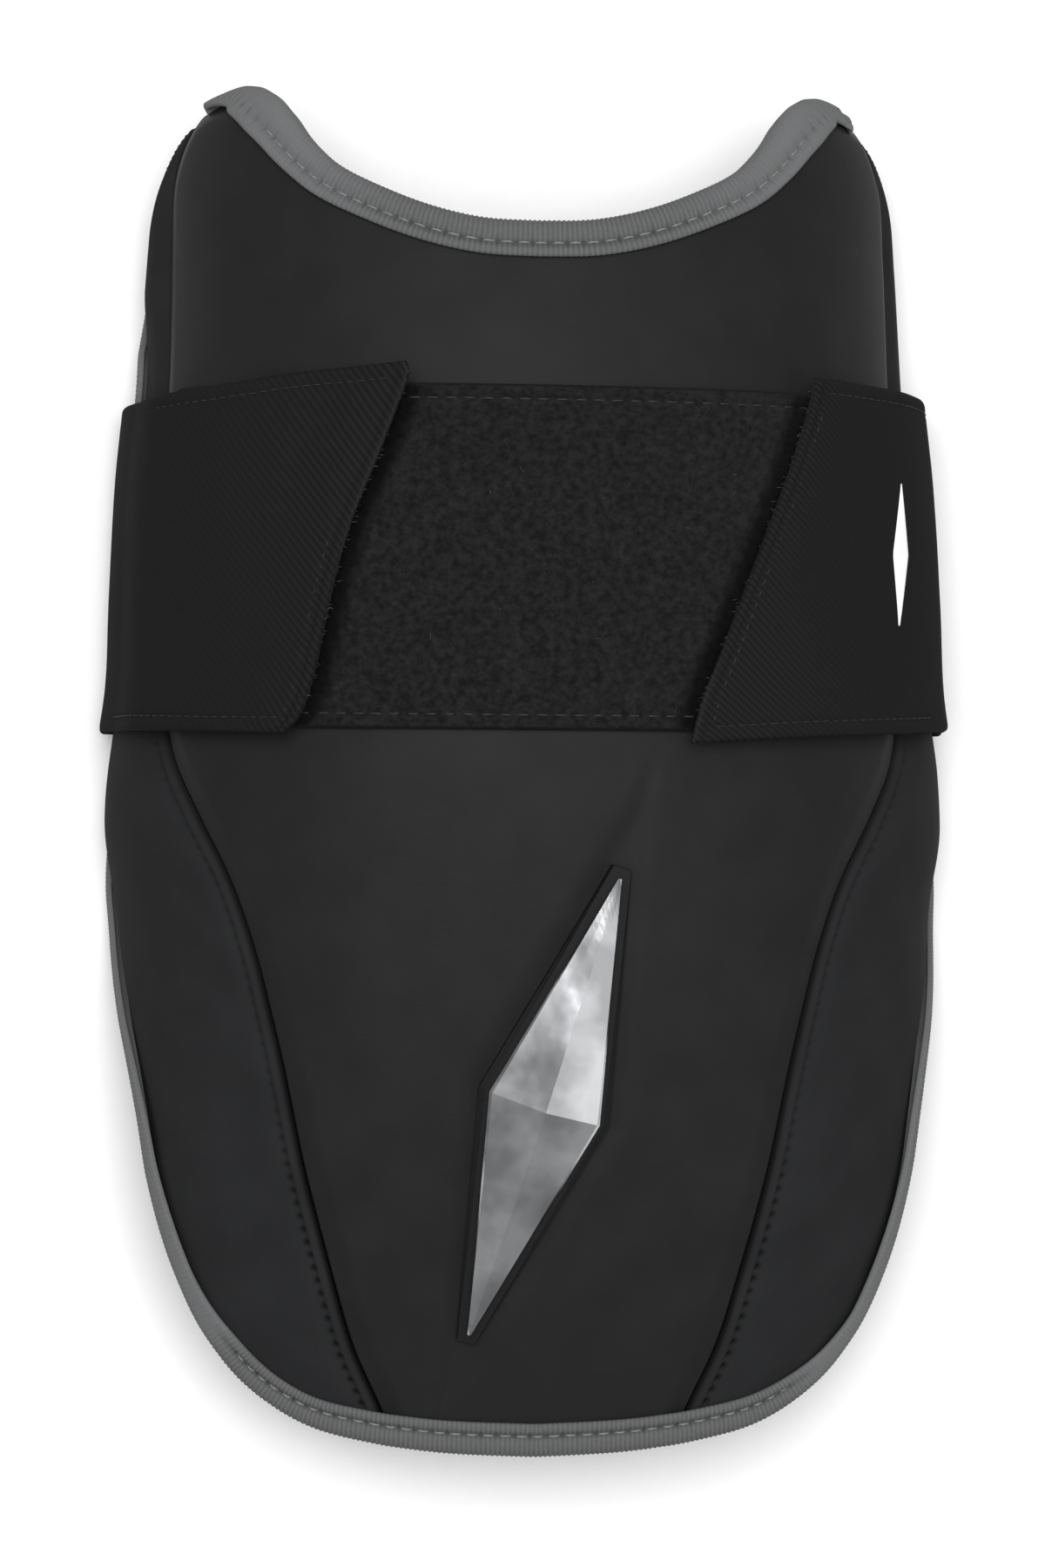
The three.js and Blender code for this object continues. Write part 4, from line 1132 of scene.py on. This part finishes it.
twill, strap_length = strap()
twill.data.materials.append(twill_finish())
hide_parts("strap")
for side_name, end, side in TABS:
    for name, turn, share in sewn_tab(side_name, end, side):
        sewn = over_strap(end, side, turn, share, STRAP_THICKNESS - 0.22)
        length = length_along(sewn)
        holes = np.arange(0.5, length[-1], TAB_SEWN["pitch"])
        normals = shell_frame(turn, strap_y(turn, share))[2]
        thread = add_thread(name, sewn, normals, length, holes, rise=0.09, sink=0.35, radius=0.1)
        thread.data.materials.append(charcoal_thread)

# Hook tape.
# A moulded strip of hooks, sewn under each end of the strap. Only its edge and its first
# rows of hooks show along the slanted ends.
HOOK_WIDTH = 56.0
HOOK_LENGTH = 28.0
HOOK_SET_BACK = 0.016
HOOK_GREY = (0.035, 0.035, 0.038)


def hook_tape(name, end, side):
    """A flat band on the inner face of the strap's end."""
    rows, columns = 56, 40
    v, u = unit_grid(rows, columns)
    y = STRAP_AT + HOOK_WIDTH * (v - 0.5)
    share = (y - STRAP_AT) / STRAP_WIDTH + 0.5
    first = end_turn(end, share) + side * HOOK_SET_BACK
    turn = first + side * u * HOOK_LENGTH / MM_A_TURN
    if side < 0:
        turn, share = turn[:, ::-1], share[:, ::-1]
    top = over_strap(end, side, turn, share, -SEAM_GAP)
    low = over_strap(end, side, turn, share, -SEAM_GAP - HOOK_THICKNESS)
    return add_body(name, top, low, cloth_places(top), 4)


# Moulded nylon with a fine grid of hooks as relief.
hook_material = grained(
    "hook_strip", True, ("TexVoronoi", dict(Scale=0.9, Randomness=0.35)),
    (0.1, 0.7, shade(HOOK_GREY, 1.3), shade(HOOK_GREY, 0.6)),
    dict(Strength=0.6, Distance=0.0004, invert=True), Roughness=0.55, Specular_IOR_Level=0.4,
)
for side_name, end, side in TABS:
    made = hook_tape(side_name + "_hook_strip", end, side)
    made.data.materials.append(hook_material)
    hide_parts(side_name + "_hook_tape")

# Fibres.
# Cut threads and hooks that stand out along the two slanted ends, and lint caught in the pile.
FRAYED = dict(count=80, length=(0.2, 1.0), radius=0.06)
LINT = dict(count=18, length=(0.4, 1.7), radius=0.055)
FIBRE_GREY = (0.07, 0.07, 0.072)


def add_fibres(name, roots, tips, normals, radius):
    """Three-sided spikes from root to tip, with a middle ring that is lifted a little."""
    middle = mix(roots, tips, 0.55) + normals * 0.12
    angle = np.arange(3) * 2 * np.pi / 3
    beside = np.cross(unit(tips - roots), normals)
    circle = beside[:, None] * np.cos(angle)[:, None] + normals[:, None] * np.sin(angle)[:, None]
    points = np.concatenate([
        roots[:, None] + circle * radius, middle[:, None] + circle * radius * 0.8, tips[:, None]
    ], 1)
    first = 7 * np.arange(len(roots))[:, None]
    sides = np.array([(0, 1, 4, 3), (1, 2, 5, 4), (2, 0, 3, 5)])
    caps = np.array([(2, 1, 0), (3, 4, 6), (4, 5, 6), (5, 3, 6)])
    sides, caps = first[..., None] + sides, first[..., None] + caps
    made = add_mesh(name, points, sides.reshape(-1, 4), caps.reshape(-1, 3))
    made.data.materials.append(fibre_finish)


fibre_finish = thread_finish("cut_fibres", FIBRE_GREY, 0.7)
for seed, (side_name, end, side) in enumerate(TABS):
    draw = np.random.default_rng(40 + seed)
    share = np.sort(draw.uniform(0.06, 0.97, FRAYED["count"]))
    turn = end_turn(end, share) + side * 0.003
    root = over_strap(end, side, turn, share, draw.uniform(0.1, 1.5, FRAYED["count"]))
    _, by_y, normal = shell_frame(turn, strap_y(turn, share))
    outward = unit(np.cross(by_y, normal) * -side)
    onward = outward + draw.normal(0, 0.45, outward.shape)
    long = draw.uniform(*FRAYED["length"], FRAYED["count"])[:, None]
    add_fibres(side_name + "_cut_threads", root, root + onward * long, normal, FRAYED["radius"])
draw = np.random.default_rng(50)
turn = draw.uniform(-0.2, 0.3, LINT["count"])
y = STRAP_AT + PATCH_WIDTH * draw.uniform(-0.46, 0.46, LINT["count"])
_, by_y, normal = shell_frame(turn, y)
angle = draw.uniform(0, np.pi, LINT["count"])[:, None]
onward = by_y * np.cos(angle) + np.cross(by_y, normal) * np.sin(angle)
root = off_shell(turn, y, PATCH_HIGH + 0.08)
long = draw.uniform(*LINT["length"], LINT["count"])[:, None]
add_fibres("lint", root, root + onward * long, normal, LINT["radius"])

# Badge.
# A plain lozenge of chromed plastic with four facets, set in a black moulded surround that is
# pressed into the centre panel.
BADGE_EDGE = 0.8
BADGE_RIDGE = 3.0
BACKING_THICKNESS = 0.9
CHROME = (0.56, 0.57, 0.585)
RUBBER_BLACK = (0.006, 0.006, 0.0065)


def turn_across(x, y):
    """Turn of a point that lies x across from the crest."""
    half = HALF_WIDTH * look_up(SECTIONS, "along width", y / HALF_LENGTH)
    share = np.abs(x) / half
    up = (1 - share**SQUARENESS) ** (1 / SQUARENESS)
    return np.sign(x) * np.arctan2(share, up) * 2 / np.pi


def plate_on_shell(name, margin, section):
    """A leaning lozenge with blunt points, widened all round by a margin: its section of
    (share across, height) is carried along its long axis."""
    length, width, lean = BADGE["length"], BADGE["width"], math.radians(BADGE["lean"])
    along = np.linspace(-1, 1, 61)[:, None]
    reach = along * (length * (0.5 - BADGE["tip"] / width) + margin)
    half = width * (0.5 - np.abs(reach) / length) + margin * math.hypot(length, width) / length
    across, height = section(along)
    x = BADGE["across"] + across * half * math.cos(lean) + reach * math.sin(lean)
    y = BADGE["along"] + reach * math.cos(lean) - across * half * math.sin(lean)
    made = add_tube(name, off_shell(turn_across(x, y), y, height))
    made.data.shade_flat()
    return made


def backing_section(along):
    """A flat plate with a bevelled upper edge, down to the bed."""
    low, high = -BED["depth"], SEAM_GAP + BACKING_THICKNESS
    across = np.array([-1, -0.5, 0, 0.5, 1, 1, 0.9, 0.5, 0, -0.5, -0.9, -1])
    height = np.array([low] * 5 + [high - 0.5] + [high] * 5 + [high - 0.5])
    return across, height + 0 * along


def badge_section(along):
    """An upright edge, a narrow bevel, and two facets that rise to the ridge."""
    low = SEAM_GAP + BACKING_THICKNESS + SEAM_GAP
    edge = low + BADGE_EDGE
    ridge = BADGE_RIDGE * (1 - 0.9 * np.abs(along))
    across = np.array([-1, -0.5, 0, 0.5, 1, 1, 0.95, 0.5, 0, -0.5, -0.95, -1])
    top = np.array([0, 0, 0, 0, 0, 0, 0.05, 0.5, 1, 0.5, 0.05, 0])
    base = np.array([low] * 5 + [edge - 0.25] + [edge] * 5 + [edge - 0.25])
    return across, base + top * ridge


def chrome_finish():
    """Plated metal: clear reflections, softened by a slow waviness and faint haze."""
    material, tree, shader = new_finish("chrome_plate", Metallic=1.0)
    place = node(tree, "TexCoord")
    wave = node(tree, "TexNoise", Scale=90.0, Detail=2.0)
    haze = node(tree, "TexNoise", Scale=75.0, Detail=3.0)
    tone = ramp_between(tree, 0.38, 0.6, shade(CHROME, 0.6), CHROME)
    rough = node(tree, "MapRange", To_Min=0.12, To_Max=0.3)
    relief = node(tree, "Bump", Strength=0.25, Distance=0.0012)
    join(
        tree,
        (place, "Object", wave, "Vector"),
        (place, "Object", haze, "Vector"),
        (haze, 0, tone, 0),
        (tone, 0, shader, "Base Color"),
        (haze, 0, rough, "Value"),
        (rough, 0, shader, "Roughness"),
        (wave, 0, relief, "Height"),
        (relief, 0, shader, "Normal"),
    )
    return material


# Moulded rubber: a fine pebble grain on a matte black.
rubber = grained(
    "badge_rubber", False, ("TexNoise", dict(Scale=1800.0, Detail=2.0)),
    (0.3, 0.7, shade(RUBBER_BLACK, 0.8), shade(RUBBER_BLACK, 1.2)),
    dict(Strength=0.3, Distance=0.0001), rough=(0.5, 0.75), Specular_IOR_Level=0.15,
)
surround = plate_on_shell("badge_surround", BACKING_MARGIN, backing_section)
surround.data.materials.append(rubber)
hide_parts("badge_backing")
plate = plate_on_shell("badge_plate", 0, badge_section)
plate.data.materials.append(chrome_finish())
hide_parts("badge")

# Mark on the strap.
# A plain white lozenge, printed on the right end of the strap as a thin film.
MARK = dict(turn=0.585, y=38.8, width=4.3, length=25.0, slant=0.012, raised=0.28, sunk=0.1)
MARK_WHITE = (0.86, 0.86, 0.86)


def strap_mark():
    """A lozenge: half its width is in proportion to the distance from its nearer tip."""
    rows, columns = 60, 12
    v, u = (2 * shares - 1 for shares in unit_grid(rows, columns))
    half = MARK["width"] / 2 * np.maximum(1 - np.abs(v), 0.02)
    turn = MARK["turn"] + u * half / mm_a_turn(MARK["turn"], MARK["y"]) + MARK["slant"] * v
    y = MARK["y"] + v * MARK["length"] / 2
    surface = strap_height(turn) + STRAP_THICKNESS
    cloth = np.stack([u * half, y, np.zeros_like(y)], -1)
    top = off_shell(turn, y, surface + MARK["raised"])
    return add_body("strap_mark", top, off_shell(turn, y, surface - MARK["sunk"]), cloth, 4)


# Screen print: a matte white film with a slight speckle.
white_print = grained(
    "white_print", True, ("TexNoise", dict(Scale=1.6, Detail=3.0)),
    (0.2, 0.5, shade(MARK_WHITE, 0.94), MARK_WHITE),
    dict(Strength=0.3, Distance=0.0001), Roughness=0.6, Specular_IOR_Level=0.3,
)
mark = strap_mark()
mark.data.materials.append(white_print)

# Studio.
# A plain pale floor, two soft lights over the guard and a pale room round it.
FLOOR_SIZE = 6.0
LIGHT_AIM = (0, 0, 0.03)
FLOOR_WHITE = (0.86, 0.86, 0.86)


def add_floor():
    half = FLOOR_SIZE / 2
    mesh = bpy.data.meshes.new("floor")
    corners = [(-half, -half, 0), (half, -half, 0), (half, half, 0), (-half, half, 0)]
    mesh.from_pydata(corners, [], [(0, 1, 2, 3)])
    floor = bpy.data.objects.new("floor", mesh)
    bpy.context.scene.collection.objects.link(floor)
    paper = grained(
        "floor_paper", False, ("TexNoise", dict(Scale=400.0, Detail=2.0)),
        (0.3, 0.7, shade(FLOOR_WHITE, 0.99), FLOOR_WHITE), Roughness=0.9, Specular_IOR_Level=0.1,
    )
    mesh.materials.append(paper)


def add_softbox(name, place, aim, size, watts):
    """A square area light that faces a point."""
    light = bpy.data.lights.new(name, "AREA")
    light.size = size
    light.energy = watts
    lamp = bpy.data.objects.new(name, light)
    bpy.context.scene.collection.objects.link(lamp)
    lamp.location = place
    direction = np.array(aim) - np.array(place)
    across = math.hypot(direction[0], direction[1])
    heading = math.atan2(direction[1], direction[0])
    lamp.rotation_euler = (math.atan2(across, -direction[2]), 0, heading - math.pi / 2)


def add_room(horizon, zenith):
    """A round room that grows lighter from the horizon to straight above."""
    world = bpy.data.worlds.new("room")
    world.use_nodes = True
    tree = world.node_tree
    place = node(tree, "TexCoord")
    split = node(tree, "SeparateXYZ")
    tone = ramp_between(tree, 0.0, 1.0, (horizon,) * 3, (zenith,) * 3)
    join(
        tree,
        (place, "Generated", split, 0),
        (split, "Z", tone, 0),
        (tone, 0, tree.nodes["Background"], "Color"),
    )
    bpy.context.scene.world = world


add_floor()
add_room(horizon=0.2, zenith=0.5)
add_softbox("key_softbox", (-0.12, 0.3, 2.25), LIGHT_AIM, size=1.3, watts=54)
add_softbox("right_card", (1.25, -0.5, 1.5), LIGHT_AIM, size=1.2, watts=4.5)

# Camera.
# It stands a metre over the guard and 3.5 degrees to the left of straight above.
CAMERA_YAW = math.radians(3.5)
CAMERA_AIM = np.array([-2.1, -2.15, 40.0])
CAMERA_AWAY = 975.0
FOCAL_PIXELS = 6353.0
PHOTO_HEIGHT = 1800.0
SENSOR = 36.0

camera_data = bpy.data.cameras.new("camera")
camera_data.sensor_width = SENSOR
camera_data.lens = FOCAL_PIXELS * SENSOR / PHOTO_HEIGHT
camera = bpy.data.objects.new("camera", camera_data)
bpy.context.scene.collection.objects.link(camera)
back = np.array([-math.sin(CAMERA_YAW), 0, math.cos(CAMERA_YAW)])
camera.location = (CAMERA_AIM + back * CAMERA_AWAY) * MM
camera.rotation_euler = (0, -CAMERA_YAW, 0)
bpy.context.scene.camera = camera
bpy.context.scene.view_settings.view_transform = "Standard"

bpy.context.view_layer.update()
